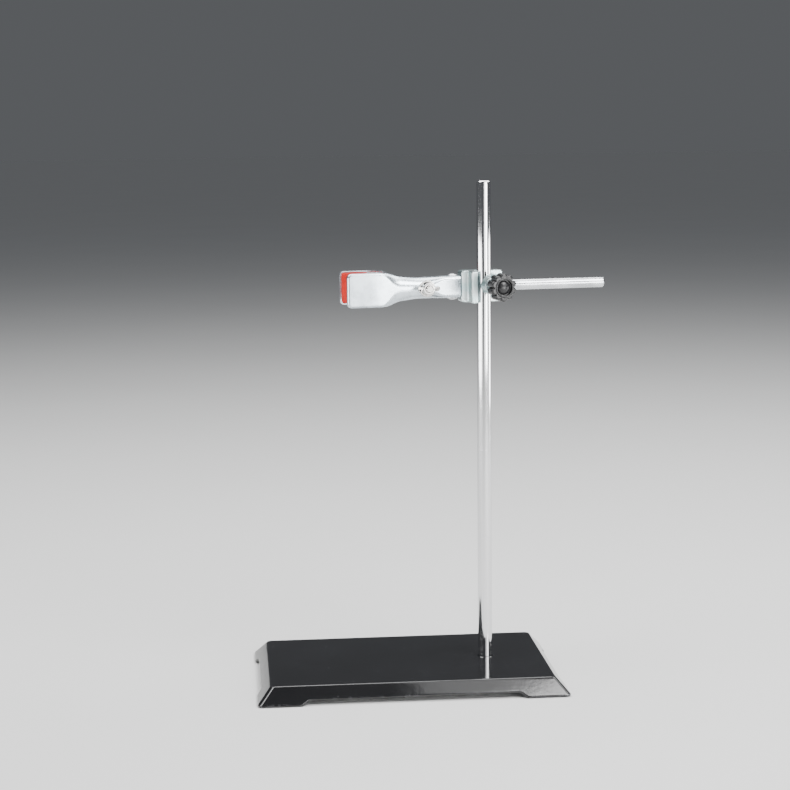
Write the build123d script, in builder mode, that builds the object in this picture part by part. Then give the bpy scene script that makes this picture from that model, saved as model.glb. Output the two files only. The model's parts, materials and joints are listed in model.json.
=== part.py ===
from build123d import *
import math
import os

# Laboratory retort stand: a pressed steel base, an upright rod, a boss head that slides on the rod,
# and a clamp whose two padded jaws are drawn together by a wing nut.
# Millimetres, +Z up. The origin is the middle of the base, on the bench.

os.makedirs("parts", exist_ok=True)

# Base: a shallow tray of sheet steel, open underneath, standing on its four corners
PLATE_LENGTH = 195.0
PLATE_WIDTH = 108.0
BASE_HEIGHT = 12.0
SKIRT_FLARE = 9.5
BASE_SHEET = 2.0
FOOT_LENGTH = 27.0
FOOT_WIDTH = 22.0
SKIRT_LIFT = 3.0
TOP_BEND = 2.0
CORNER_BEND = 2.5

# Upright rod and its fixing under the plate
ROD_X = 57.0
ROD_DIAMETER = 10.0
ROD_FOOT_Z = 0.8
ROD_TOP_Z = 350.0
ROD_HOLE_GAP = 0.3
ROD_CHAMFER = 0.8
WELD_NUT_FLATS = 17.0
WELD_NUT_HEIGHT = 4.5
LOCK_NUT_HEIGHT = 4.0
NUT_GAP = 0.3

# Boss head: lengths along the arm (u), away from the user (v) and up (z), from the rod and the arm
CLAMP_Z = 276.5
SWIVEL = 6.5
RUNNING_GAP = 0.05
ARM_BACK = 11.0
BOSS_LEFT = -14.6
BOSS_RIGHT = 15.0
BOSS_HALF = 11.0
BOSS_FRONT = 5.6
BOSS_REAR = 17.6
BOSS_ROUND = 2.0
BOSS_REAR_ROUND = 1.6
ROD_WALL_ROUND = 0.8
ROD_WALL_INNER = 5.4
ROD_WALL = 4.4
ROD_WALL_FRONT = -5.5
CHEEK_FRONT = -12.0
CHEEK_WALL = 5.6
CHEEK_HALF = 7.0
LUG_RADIUS = 6.0

# Clamping screws and their lobed knobs
SCREW_DIAMETER = 6.0
SCREW_GAP = 0.3
SCREW_TIP_CHAMFER = 0.6
ROD_SCREW_ANGLE = 12.0
ROD_SCREW_UP = 1.5
ROD_LUG_START = 7.0
ROD_LUG_END = 15.0
ROD_KNOB_START = 21.0
ARM_SCREW_U = 6.0
ARM_SCREW_DOWN = 0.8
ARM_LUG_END = 21.0
ARM_KNOB_START = 26.0
KNOB_RADIUS = 10.2
KNOB_LOBES = 10
LOBE_RADIUS = 2.3
KNOB_HEIGHT = 10.0
KNOB_COLLAR_RADIUS = 5.0
KNOB_COLLAR_HEIGHT = 2.0
KNOB_RING_RADIUS = 6.5
KNOB_RING_WALL = 0.9
KNOB_RECESS = 2.2
KNOB_DOME_RADIUS = 4.9
KNOB_CORE_SHARE = 0.6
SCREW_INTO_KNOB = 7.0

# Clamp arm
ARM_DIAMETER = 7.5
ARM_LEFT = -28.0
ARM_RIGHT = 90.5
ARM_CHAMFER = 0.7

# Pressed jaws: w is measured outwards from the arm's axis, forwards on one jaw and backwards on the other
JAW_SHEET = 1.2
JAW_TIP = -97.4
PAD_END = -75.6
PIVOT_U = -19.7
TAIL_END = -15.2
JAW_GAP = 25.5
PAD_THICKNESS = 2.5
PAD_INNER_END = -77.6
PAD_GAP = 0.1
JAW_HALF = 11.8
SHOULDER_U = (-65.5, -57.5, -51.5, -46.0)
SHOULDER_HALF = (10.4, 9.6, 8.4, 7.5)
FRONT_NECK_HALF = 7.5
NESTING_GAP = 0.3
WEB_AT_PIVOT = 7.0
RIM_SET_BACK = 0.45
TAIL_EDGE_W = -1.5
HOLLOW_PAST = 3.0
TIP_CORNER = 3.0

# Jaw pivot rivets, drawing bolt, spring and wing nut
RIVET_DIAMETER = 4.0
RIVET_HEAD_DIAMETER = 8.0
RIVET_HEAD_HEIGHT = 1.8
RIVET_HEAD_GAP = 0.1
HEAD_ROUNDING = 0.6
FERRULE_DEPTH = 9.0
FERRULE_GAP = 0.05
FERRULE_LEFT = -27.0
BOLT_U = -40.5
BOLT_DIAMETER = 5.0
BOLT_HEAD_DIAMETER = 9.0
BOLT_HEAD_HEIGHT = 2.6
BOLT_END_W = 20.5
SLOT_EXTRA = 2.8
SLOT_SHIFT = 1.2
SPRING_RADIUS = 3.7
SPRING_WIRE = 0.9
SPRING_GAP = 0.4
WASHER_W = 11.6
WASHER_RADIUS = 5.0
WASHER_THICKNESS = 1.0
WING_HUB_RADIUS = 4.6
WING_HUB_HEIGHT = 5.5
WING_HUB_TAPER = 8.0
WING_SPAN = 16.0
WING_THICKNESS = 2.4
WING_ROOT = 3.4
WING_FOOT = 0.8
WING_RISE = 7.5


def clamp_point(u, v, z=0.0):
    """A point of the swivelled clamp, u along the arm and v behind the rod, in the stand's own frame."""
    turn = math.radians(SWIVEL)
    x = ROD_X + u * math.cos(turn) - v * math.sin(turn)
    y = u * math.sin(turn) + v * math.cos(turn)
    return Vector(x, y, CLAMP_Z + z)


def clamp_direction(u, v):
    """A level direction of the clamp in the stand's own frame."""
    return clamp_point(u, v) - clamp_point(0, 0)


def clamp_plane(u=0.0, v=0.0, z=0.0):
    """A level plane, its X along the arm."""
    return Plane(origin=clamp_point(u, v, z), x_dir=clamp_direction(1, 0), z_dir=(0, 0, 1))


def facing_plane(u, v, z, direction):
    """An upright plane whose normal is a level direction of the clamp."""
    return Plane(origin=clamp_point(u, v, z), x_dir=(0, 0, 1), z_dir=direction)


def front_plane(v=0.0):
    """An upright plane seen from the user's side: X along the arm, Y up, normal towards the user."""
    return Plane(origin=clamp_point(0, v), x_dir=clamp_direction(1, 0), z_dir=clamp_direction(0, -1))


def save(builder, name):
    """Labels a finished piece and writes it."""
    builder.part.label = name
    export_step(builder.part, f"parts/{name}.step")


# Base shell
foot_length = PLATE_LENGTH + 2 * SKIRT_FLARE
foot_width = PLATE_WIDTH + 2 * SKIRT_FLARE
skirt_slope = math.atan2(BASE_HEIGHT, SKIRT_FLARE)
wall_across = BASE_SHEET / math.sin(skirt_slope)
ceiling_z = BASE_HEIGHT - BASE_SHEET
ceiling_flare = SKIRT_FLARE * BASE_SHEET / BASE_HEIGHT

with BuildPart() as base_shell:
    with BuildSketch(Plane.XY):
        Rectangle(foot_length, foot_width)
    with BuildSketch(Plane.XY.offset(BASE_HEIGHT)):
        Rectangle(PLATE_LENGTH, PLATE_WIDTH)
    loft()
    corner_ridges = [e for e in base_shell.edges() if e.bounding_box().size.Z > BASE_HEIGHT / 2]
    fillet(corner_ridges, CORNER_BEND)
    fillet(base_shell.faces().sort_by(Axis.Z)[-1].edges(), TOP_BEND)
    with BuildSketch(Plane.XY):
        Rectangle(foot_length - 2 * wall_across, foot_width - 2 * wall_across)
    with BuildSketch(Plane.XY.offset(ceiling_z)):
        Rectangle(
            PLATE_LENGTH + 2 * (ceiling_flare - wall_across),
            PLATE_WIDTH + 2 * (ceiling_flare - wall_across),
        )
    loft(mode=Mode.SUBTRACT)
    # The skirt is lifted between the corners, with short slopes down to the feet
    lifted = ((Plane.XZ, foot_length - 2 * FOOT_LENGTH), (Plane.YZ, foot_width - 2 * FOOT_WIDTH))
    for plane, length in lifted:
        with BuildSketch(plane):
            with BuildLine():
                Polyline(
                    (-length / 2 - SKIRT_LIFT, -1),
                    (-length / 2, SKIRT_LIFT),
                    (length / 2, SKIRT_LIFT),
                    (length / 2 + SKIRT_LIFT, -1),
                    close=True,
                )
            make_face()
        extrude(amount=foot_length, both=True, mode=Mode.SUBTRACT)
    with BuildSketch(Plane.XY.offset(BASE_HEIGHT)):
        with Locations((ROD_X, 0)):
            Circle(ROD_DIAMETER / 2 + ROD_HOLE_GAP)
    extrude(amount=-2 * BASE_SHEET, mode=Mode.SUBTRACT)
save(base_shell, "base_shell")

# Nut welded under the plate, in which the rod's threaded foot turns
with BuildPart() as weld_nut:
    with BuildSketch(Plane.XY.offset(ceiling_z)):
        with Locations((ROD_X, 0)):
            RegularPolygon(WELD_NUT_FLATS / 2, 6, major_radius=False)
            Circle(ROD_DIAMETER / 2 + RUNNING_GAP, mode=Mode.SUBTRACT)
    extrude(amount=-WELD_NUT_HEIGHT)
save(weld_nut, "weld_nut")

# Upright rod
with BuildPart() as support_rod:
    with BuildSketch(Plane.XY.offset(ROD_FOOT_Z)):
        with Locations((ROD_X, 0)):
            Circle(ROD_DIAMETER / 2)
    extrude(amount=ROD_TOP_Z - ROD_FOOT_Z)
    chamfer(support_rod.edges().sort_by(Axis.Z)[-1], ROD_CHAMFER)
save(support_rod, "support_rod")

# Thin nut that locks the rod from below
with BuildPart() as rod_lock_nut:
    with BuildSketch(Plane.XY.offset(ceiling_z - WELD_NUT_HEIGHT - NUT_GAP)):
        with Locations((ROD_X, 0)):
            RegularPolygon(WELD_NUT_FLATS / 2, 6, major_radius=False)
            Circle(ROD_DIAMETER / 2, mode=Mode.SUBTRACT)
    extrude(amount=-LOCK_NUT_HEIGHT)
save(rod_lock_nut, "rod_lock_nut")

# Boss head casting
screw_turn = math.radians(ROD_SCREW_ANGLE)
rod_screw_direction = clamp_direction(math.sin(screw_turn), -math.cos(screw_turn))
arm_screw_direction = clamp_direction(0, 1)
screw_bore = SCREW_DIAMETER / 2 + RUNNING_GAP


def rod_screw_plane(distance):
    """The plane across the rod screw at a distance from the rod's axis."""
    start = rod_screw_direction * distance
    return Plane(
        origin=clamp_point(0, 0, ROD_SCREW_UP) + start, x_dir=(0, 0, 1), z_dir=rod_screw_direction
    )


def arm_screw_plane(v):
    """The plane across the arm screw at a distance behind the rod's axis."""
    return facing_plane(ARM_SCREW_U, v, -ARM_SCREW_DOWN, arm_screw_direction)


with BuildPart() as boss_body:
    with BuildSketch(front_plane(BOSS_REAR)):
        with Locations(((BOSS_LEFT + BOSS_RIGHT) / 2, 0)):
            RectangleRounded(BOSS_RIGHT - BOSS_LEFT, 2 * BOSS_HALF, BOSS_ROUND)
    extrude(amount=BOSS_REAR - BOSS_FRONT)
    rear_face = boss_body.faces().sort_by(Axis(clamp_point(0, 0), clamp_direction(0, 1)))[-1]
    fillet(rear_face.edges(), BOSS_REAR_ROUND)
    # The wall beside the rod, then the cheek that carries the rod screw's lug
    with BuildSketch(front_plane(BOSS_FRONT + BOSS_ROUND)):
        with Locations((-ROD_WALL_INNER - ROD_WALL / 2, 0)):
            RectangleRounded(ROD_WALL, 2 * BOSS_HALF, ROD_WALL_ROUND)
        with Locations((ROD_WALL_INNER + CHEEK_WALL / 2, ROD_SCREW_UP)):
            RectangleRounded(CHEEK_WALL, 2 * CHEEK_HALF, BOSS_ROUND)
    extrude(amount=BOSS_FRONT + BOSS_ROUND - ROD_WALL_FRONT)
    with BuildSketch(front_plane(ROD_WALL_FRONT)):
        with Locations((ROD_WALL_INNER + CHEEK_WALL / 2, ROD_SCREW_UP)):
            RectangleRounded(CHEEK_WALL, 2 * CHEEK_HALF, BOSS_ROUND)
    extrude(amount=ROD_WALL_FRONT - CHEEK_FRONT)
    with BuildSketch(rod_screw_plane(ROD_LUG_START)):
        Circle(LUG_RADIUS)
    extrude(amount=ROD_LUG_END - ROD_LUG_START)
    with BuildSketch(arm_screw_plane(BOSS_REAR - 1)):
        Circle(LUG_RADIUS)
    extrude(amount=ARM_LUG_END - BOSS_REAR + 1)
    # Bores for the arm and for both screws
    with BuildSketch(facing_plane(BOSS_LEFT - 1, ARM_BACK, 0, clamp_direction(1, 0))):
        Circle(ARM_DIAMETER / 2 + RUNNING_GAP)
    extrude(amount=BOSS_RIGHT - BOSS_LEFT + 2, mode=Mode.SUBTRACT)
    with BuildSketch(rod_screw_plane(ROD_LUG_START - 1)):
        Circle(screw_bore)
    extrude(amount=ROD_LUG_END - ROD_LUG_START + 2, mode=Mode.SUBTRACT)
    with BuildSketch(arm_screw_plane(ARM_BACK)):
        Circle(screw_bore)
    extrude(amount=ARM_LUG_END - ARM_BACK + 1, mode=Mode.SUBTRACT)
save(boss_body, "boss_body")


def make_screw(plane, length, name):
    """A clamping screw with a chamfered tip, from its tip outwards."""
    with BuildPart() as screw:
        with BuildSketch(plane):
            Circle(SCREW_DIAMETER / 2)
        extrude(amount=length)
        tip = screw.edges().filter_by(GeomType.CIRCLE).sort_by(Axis(plane.origin, plane.z_dir))[0]
        chamfer(tip, SCREW_TIP_CHAMFER)
    save(screw, name)


def make_knob(plane, name):
    """A lobed knob moulded with a collar, a raised ring, a recess and a domed middle."""
    with BuildPart() as knob:
        with BuildSketch(plane):
            Circle(KNOB_COLLAR_RADIUS)
        extrude(amount=KNOB_COLLAR_HEIGHT)
        with BuildSketch(plane.offset(KNOB_COLLAR_HEIGHT)):
            Circle(KNOB_RADIUS - LOBE_RADIUS * KNOB_CORE_SHARE)
            with PolarLocations(KNOB_RADIUS - LOBE_RADIUS, KNOB_LOBES):
                Circle(LOBE_RADIUS)
        extrude(amount=KNOB_HEIGHT - KNOB_COLLAR_HEIGHT)
        top = plane.offset(KNOB_HEIGHT)
        with BuildSketch(top):
            Circle(KNOB_RING_RADIUS)
        extrude(amount=KNOB_RING_WALL)
        with BuildSketch(top.offset(KNOB_RING_WALL)):
            Circle(KNOB_RING_RADIUS - KNOB_RING_WALL)
        extrude(amount=-KNOB_RECESS, mode=Mode.SUBTRACT)
        dome_rise = KNOB_RECESS
        dome_ball = (KNOB_DOME_RADIUS**2 + dome_rise**2) / (2 * dome_rise)
        floor = top.offset(KNOB_RING_WALL - KNOB_RECESS)
        with BuildSketch(Plane(origin=floor.origin, x_dir=floor.x_dir, z_dir=floor.y_dir)):
            with BuildLine():
                Line((0, 0), (KNOB_DOME_RADIUS, 0))
                RadiusArc((KNOB_DOME_RADIUS, 0), (0, -dome_rise), dome_ball)
                Line((0, -dome_rise), (0, 0))
            make_face()
        revolve(axis=Axis(floor.origin, floor.z_dir))
        with BuildSketch(plane):
            Circle(screw_bore)
        extrude(amount=SCREW_INTO_KNOB + SCREW_GAP, mode=Mode.SUBTRACT)
    save(knob, name)


# Screw and knob that clamp the boss head to the rod
rod_screw_tip = ROD_DIAMETER / 2 + SCREW_GAP
make_screw(rod_screw_plane(rod_screw_tip), ROD_KNOB_START + SCREW_INTO_KNOB - rod_screw_tip, "rod_screw")
make_knob(rod_screw_plane(ROD_KNOB_START), "rod_knob")

# Screw and knob that clamp the arm in the boss head
arm_screw_tip = ARM_BACK + ARM_DIAMETER / 2 + SCREW_GAP
make_screw(arm_screw_plane(arm_screw_tip), ARM_KNOB_START + SCREW_INTO_KNOB - arm_screw_tip, "arm_screw")
make_knob(arm_screw_plane(ARM_KNOB_START), "arm_knob")

# Clamp arm
along_arm = clamp_direction(1, 0)
with BuildPart() as clamp_arm:
    with BuildSketch(facing_plane(ARM_LEFT, ARM_BACK, 0, along_arm)):
        Circle(ARM_DIAMETER / 2)
    extrude(amount=ARM_RIGHT - ARM_LEFT)
    chamfer(clamp_arm.edges().filter_by(GeomType.CIRCLE), ARM_CHAMFER)
save(clamp_arm, "clamp_arm")

# Block ferrule riveted in the rear jaw, in which the arm's end turns
rear_neck_half = FRONT_NECK_HALF - JAW_SHEET - NESTING_GAP
ferrule_height = 2 * (rear_neck_half - JAW_SHEET - FERRULE_GAP)
with BuildPart() as arm_ferrule:
    with BuildSketch(facing_plane(FERRULE_LEFT, ARM_BACK, 0, along_arm)):
        Rectangle(ferrule_height, FERRULE_DEPTH)
        Circle(ARM_DIAMETER / 2 + RUNNING_GAP, mode=Mode.SUBTRACT)
    extrude(amount=TAIL_END - FERRULE_LEFT)
save(arm_ferrule, "arm_ferrule")

# Pressed jaws
pad_face_w = JAW_GAP / 2
web_pad_w = pad_face_w + PAD_THICKNESS + JAW_SHEET
web_slope = (web_pad_w - WEB_AT_PIVOT) / (PIVOT_U - PAD_END)
FLANGE_EDGE = (
    (-77.0, pad_face_w + RIM_SET_BACK),
    (-64.0, 10.0),
    (-50.0, 6.5),
    (-38.0, 3.0),
    (-29.0, -2.5),
    (-24.0, -4.2),
    (-17.5, -4.2),
)


def web_w(u):
    """The outer face of a jaw's web at a place along the arm."""
    if u < PAD_END:
        return web_pad_w
    return WEB_AT_PIVOT + web_slope * (PIVOT_U - u)


def plan_points(side, sunk, past):
    """A jaw's plan outline: its web, set in by sunk, then the free edges of its flanges.

    past carries the outline beyond the free edges and the tail, so that it can cut a hollow."""
    tail = TAIL_END + past
    tip = JAW_TIP + sunk
    points = [(tip, web_pad_w - sunk), (PAD_END, web_pad_w - sunk), (tail, web_w(tail) - sunk)]
    points += [(tail, TAIL_EDGE_W - past)]
    points += [(u, w - past) for u, w in reversed(FLANGE_EDGE)]
    points += [(tip, pad_face_w + RIM_SET_BACK - past)]
    return [(u, ARM_BACK + side * w) for u, w in points]


def side_points(neck_half, sunk, past):
    """Half of a jaw's outline seen from the front, from the tip's top corner to the tail."""
    drop = FRONT_NECK_HALF - neck_half
    points = [(JAW_TIP + sunk, JAW_HALF - sunk), (PAD_END, JAW_HALF - sunk)]
    share = len(SHOULDER_U) - 1
    for step, (u, half) in enumerate(zip(SHOULDER_U, SHOULDER_HALF)):
        points.append((u, half - sunk - drop * step / share))
    points.append((TAIL_END + past, neck_half - sunk))
    return points


def jaw_block(side, neck_half, sunk=0.0, past=0.0):
    """The plan outline carried upwards, trimmed to the outline seen from the front."""
    upper = side_points(neck_half, sunk, past)
    lower = [(u, -z) for u, z in reversed(upper)]
    with BuildPart() as block:
        with BuildSketch(clamp_plane(z=-JAW_HALF)):
            with BuildLine():
                Polyline(*plan_points(side, sunk, past), close=True)
            make_face()
        extrude(amount=2 * JAW_HALF)
        with BuildSketch(front_plane()) as seen:
            with BuildLine():
                Polyline(*upper, *lower, close=True)
            make_face()
            tip_corners = seen.vertices().group_by(Axis.X)[0]
            fillet(tip_corners, TIP_CORNER - sunk)
        extrude(amount=2 * web_pad_w + ARM_BACK, both=True, mode=Mode.INTERSECT)
    return block.part


def make_jaw(side, neck_half, slotted, rivet_hole, name):
    """A jaw pressed from sheet: a tray for the pad that narrows to a channel at the pivot.

    The swinging jaw is slotted, so that it clears the bolt at every angle."""
    hollow = jaw_block(side, neck_half, sunk=JAW_SHEET, past=HOLLOW_PAST)
    with BuildPart() as jaw:
        add(jaw_block(side, neck_half))
        add(hollow, mode=Mode.SUBTRACT)
        with BuildSketch(front_plane(ARM_BACK)):
            with Locations((BOLT_U + SLOT_SHIFT * slotted, 0)):
                if slotted:
                    SlotOverall(BOLT_DIAMETER + 2 * SCREW_GAP + SLOT_EXTRA, BOLT_DIAMETER + 2 * SCREW_GAP)
                else:
                    Circle(BOLT_DIAMETER / 2)
        extrude(amount=-side * 2 * web_pad_w, mode=Mode.SUBTRACT)
        with BuildSketch(clamp_plane(z=-JAW_HALF)):
            with Locations((PIVOT_U, ARM_BACK)):
                Circle(rivet_hole / 2)
        extrude(amount=2 * JAW_HALF, mode=Mode.SUBTRACT)
    save(jaw, name)


make_jaw(-1, FRONT_NECK_HALF, True, RIVET_DIAMETER + 2 * RUNNING_GAP, "front_jaw")
make_jaw(1, rear_neck_half, False, RIVET_DIAMETER, "rear_jaw")


# Rubber pads, one in each jaw's tray
def make_pad(side, name):
    """A flat rubber pad with rounded corners, standing a little proud of the tray's rim."""
    length = PAD_INNER_END - (JAW_TIP + JAW_SHEET + PAD_GAP)
    height = 2 * (JAW_HALF - JAW_SHEET - PAD_GAP)
    with BuildPart() as pad:
        with BuildSketch(front_plane(ARM_BACK + side * pad_face_w)):
            with Locations((PAD_INNER_END - length / 2, 0)):
                RectangleRounded(length, height, TIP_CORNER - JAW_SHEET)
        extrude(amount=-side * PAD_THICKNESS)
    save(pad, name)


make_pad(-1, "front_pad")
make_pad(1, "rear_pad")


# Rivets on which the front jaw swings, above and below the ferrule
def make_rivet(side, name):
    """A round-headed rivet through both flanges, side +1 above and -1 below."""
    inner = rear_neck_half - JAW_SHEET
    head_start = FRONT_NECK_HALF + RIVET_HEAD_GAP
    with BuildPart() as rivet:
        with BuildSketch(clamp_plane(z=side * inner)):
            with Locations((PIVOT_U, ARM_BACK)):
                Circle(RIVET_DIAMETER / 2)
        extrude(amount=side * (head_start - inner))
        with BuildSketch(clamp_plane(z=side * head_start)):
            with Locations((PIVOT_U, ARM_BACK)):
                Circle(RIVET_HEAD_DIAMETER / 2)
        extrude(amount=side * RIVET_HEAD_HEIGHT)
        rim = rivet.edges().filter_by(GeomType.CIRCLE).sort_by(Axis.Z)[-1 if side > 0 else 0]
        fillet(rim, RIVET_HEAD_HEIGHT * HEAD_ROUNDING)
    save(rivet, name)


make_rivet(1, "upper_rivet")
make_rivet(-1, "lower_rivet")

# Bolt through both jaws, its head behind the rear jaw
bolt_head_w = web_w(BOLT_U - BOLT_HEAD_DIAMETER / 2)
with BuildPart() as clamp_bolt:
    with BuildSketch(front_plane(ARM_BACK + bolt_head_w)):
        with Locations((BOLT_U, 0)):
            Circle(BOLT_DIAMETER / 2)
    extrude(amount=bolt_head_w + BOLT_END_W)
    with BuildSketch(front_plane(ARM_BACK + bolt_head_w)):
        with Locations((BOLT_U, 0)):
            Circle(BOLT_HEAD_DIAMETER / 2)
    extrude(amount=-BOLT_HEAD_HEIGHT)
    backwards = Axis(clamp_point(0, 0), clamp_direction(0, 1))
    rear_rim = clamp_bolt.edges().filter_by(GeomType.CIRCLE).sort_by(backwards)[-1]
    fillet(rear_rim, BOLT_HEAD_HEIGHT * HEAD_ROUNDING)
save(clamp_bolt, "clamp_bolt")

# Compression spring round the bolt, as the sleeve that its coils fill
spring_half = web_w(BOLT_U + SPRING_RADIUS + SPRING_WIRE) - JAW_SHEET - SPRING_GAP
with BuildPart() as jaw_spring:
    with BuildSketch(front_plane(ARM_BACK + spring_half)):
        with Locations((BOLT_U, 0)):
            Circle(SPRING_RADIUS + SPRING_WIRE / 2)
            Circle(SPRING_RADIUS - SPRING_WIRE / 2, mode=Mode.SUBTRACT)
    extrude(amount=2 * spring_half)
save(jaw_spring, "jaw_spring")

# Washer under the wing nut
with BuildPart() as wing_washer:
    with BuildSketch(front_plane(ARM_BACK - WASHER_W)):
        with Locations((BOLT_U, 0)):
            Circle(WASHER_RADIUS)
            Circle(BOLT_DIAMETER / 2 + RUNNING_GAP, mode=Mode.SUBTRACT)
    extrude(amount=WASHER_THICKNESS)
save(wing_washer, "wing_washer")

# Wing nut: a round hub with two rounded wings that lean outwards
hub_w = WASHER_W + WASHER_THICKNESS + RUNNING_GAP
with BuildPart() as wing_nut:
    with BuildSketch(front_plane(ARM_BACK - hub_w)):
        with Locations((BOLT_U, 0)):
            Circle(WING_HUB_RADIUS)
    extrude(amount=WING_HUB_HEIGHT, taper=WING_HUB_TAPER)
    with BuildSketch(clamp_plane(z=-WING_THICKNESS / 2)):
        with BuildLine():
            front = ARM_BACK - hub_w
            Polyline(
                (BOLT_U - WING_ROOT, front - WING_FOOT),
                (BOLT_U - WING_SPAN / 2, front - WING_RISE / 2),
                (BOLT_U - WING_SPAN / 2 + WING_FOOT, front - WING_RISE),
                (BOLT_U - WING_ROOT, front - WING_HUB_HEIGHT),
                (BOLT_U + WING_ROOT, front - WING_HUB_HEIGHT),
                (BOLT_U + WING_SPAN / 2 - WING_FOOT, front - WING_RISE),
                (BOLT_U + WING_SPAN / 2, front - WING_RISE / 2),
                (BOLT_U + WING_ROOT, front - WING_FOOT),
                close=True,
            )
        make_face()
    extrude(amount=WING_THICKNESS)
    with BuildSketch(front_plane(ARM_BACK - hub_w + 1)):
        with Locations((BOLT_U, 0)):
            Circle(BOLT_DIAMETER / 2 + RUNNING_GAP)
    extrude(amount=WING_RISE + 2, mode=Mode.SUBTRACT)
save(wing_nut, "wing_nut")
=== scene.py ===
import json
import math

import bmesh
import bpy
import numpy as np
from bpy.props import FloatProperty, FloatVectorProperty, IntProperty, PointerProperty
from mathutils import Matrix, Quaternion, Vector

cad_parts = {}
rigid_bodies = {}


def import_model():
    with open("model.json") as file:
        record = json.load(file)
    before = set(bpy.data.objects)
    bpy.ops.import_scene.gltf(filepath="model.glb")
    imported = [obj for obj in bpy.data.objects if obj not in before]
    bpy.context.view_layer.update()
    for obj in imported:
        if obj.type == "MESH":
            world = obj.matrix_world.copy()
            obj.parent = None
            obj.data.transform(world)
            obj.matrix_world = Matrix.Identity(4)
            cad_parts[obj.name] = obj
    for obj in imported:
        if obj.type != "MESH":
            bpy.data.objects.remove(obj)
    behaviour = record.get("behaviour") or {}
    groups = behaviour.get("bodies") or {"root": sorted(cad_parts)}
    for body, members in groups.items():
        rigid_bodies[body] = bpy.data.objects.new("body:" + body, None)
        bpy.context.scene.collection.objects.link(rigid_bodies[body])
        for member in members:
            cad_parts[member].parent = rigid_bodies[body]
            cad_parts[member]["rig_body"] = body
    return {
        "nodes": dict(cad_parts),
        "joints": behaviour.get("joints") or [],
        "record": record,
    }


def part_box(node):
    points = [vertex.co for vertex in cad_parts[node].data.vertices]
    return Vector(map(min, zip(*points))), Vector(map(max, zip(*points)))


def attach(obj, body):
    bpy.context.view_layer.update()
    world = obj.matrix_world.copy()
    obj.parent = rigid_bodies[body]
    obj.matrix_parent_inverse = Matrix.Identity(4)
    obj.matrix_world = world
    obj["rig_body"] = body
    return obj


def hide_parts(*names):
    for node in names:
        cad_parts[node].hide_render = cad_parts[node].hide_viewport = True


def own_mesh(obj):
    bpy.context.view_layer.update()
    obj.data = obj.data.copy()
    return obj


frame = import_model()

bl_info = {
    "name": "Retort Stand",
    "version": (1, 0, 0),
    "blender": (4, 5, 0),
    "location": "View3D > Sidebar > Retort Stand",
    "description": "Finished surfaces and materials for a laboratory retort stand and its clamp",
    "category": "Add Mesh",
}

MM = 0.001
TURN = 2 * math.pi
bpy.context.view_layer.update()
JOINTS = {joint["name"]: joint for joint in frame["joints"]}
COUPLINGS = {pair["joint"]: pair["ratio"] for pair in frame["record"]["behaviour"]["couplings"]}


# Axes in which the pieces are worked out


class Axes:
    """Right-handed axes in the stand's frame: z runs along a piece, x points as near sideways as it can."""

    def __init__(self, origin, along, sideways):
        z = np.array(along, float)
        z /= np.linalg.norm(z)
        x = np.array(sideways, float)
        x -= z * (x @ z)
        x /= np.linalg.norm(x)
        self.origin = np.array(origin, float)
        self.basis = np.stack((x, np.cross(z, x), z))

    def world(self, points):
        """Points in these axes, in the stand's frame."""
        return self.origin + points @ self.basis

    def box(self, node):
        """Lowest and highest corner of a CAD node in these axes."""
        mesh = frame["nodes"][node].data
        flat = np.empty(3 * len(mesh.vertices), np.float32)
        mesh.vertices.foreach_get("co", flat)
        local = (flat.reshape(-1, 3) - self.origin) @ self.basis.T
        return local.min(0), local.max(0)


UP = np.array((0.0, 0.0, 1.0))
ALONG_ARM = np.array(JOINTS["arm_slide"]["axis"], float)
BACKWARDS = np.array(JOINTS["nut_feed"]["axis"], float)
ROD_FOOT = np.array(JOINTS["rod_turn"]["pos_m"], float) * (1, 1, 0)
ARM_HEIGHT = JOINTS["front_jaw_swing"]["pos_m"][2]

ROD = Axes(ROD_FOOT, UP, (1, 0, 0))
CLAMP = Axes(ROD_FOOT + ARM_HEIGHT * UP, UP, ALONG_ARM)
ARM = Axes(JOINTS["clamp_roll"]["pos_m"], ALONG_ARM, UP)
PIVOT = Axes(JOINTS["front_jaw_swing"]["pos_m"], UP, ALONG_ARM)
BOLT = Axes(JOINTS["wing_nut_turn"]["pos_m"], -BACKWARDS, ALONG_ARM)
ROD_SCREW = Axes(JOINTS["rod_knob_turn"]["pos_m"], JOINTS["rod_knob_turn"]["axis"], UP)
ARM_SCREW = Axes(JOINTS["arm_knob_turn"]["pos_m"], JOINTS["arm_knob_turn"]["axis"], UP)


def pitch_of(feed):
    """The advance for each turn, in millimetres, of a screw whose feed is coupled to its turning."""
    return COUPLINGS[feed] * TURN / MM


# Settings that a user would change


def length(default, name, description):
    """A setting that holds a length, its default given in millimetres."""
    return FloatProperty(name=name, description=description, default=default * MM, unit="LENGTH", precision=4)


def tint(default, name, description):
    """A setting that holds a colour."""
    return FloatVectorProperty(
        name=name, description=description, default=default, subtype="COLOR", size=3, min=0, max=1
    )


class BaseSettings(bpy.types.PropertyGroup):
    """The pressed steel base."""

    sheet: length(2.0, "Sheet", "Thickness of the base's steel")
    flare: length(9.5, "Flare", "How far the skirt spreads beyond the plate")
    bend: length(2.2, "Top bend", "Radius where the plate turns down into the skirt")
    ridge: length(3.0, "Corner ridge", "Radius of the skirt's four ridges")
    foot_long: length(27.0, "Foot length", "Length of each corner foot along the long sides")
    foot_short: length(22.0, "Foot width", "Length of each corner foot along the short sides")
    foot_slope: length(4.0, "Foot slope", "Length over which the hem rises beside a foot")
    lift: length(3.0, "Lift", "How far the hem stands off the bench between the feet")


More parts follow.
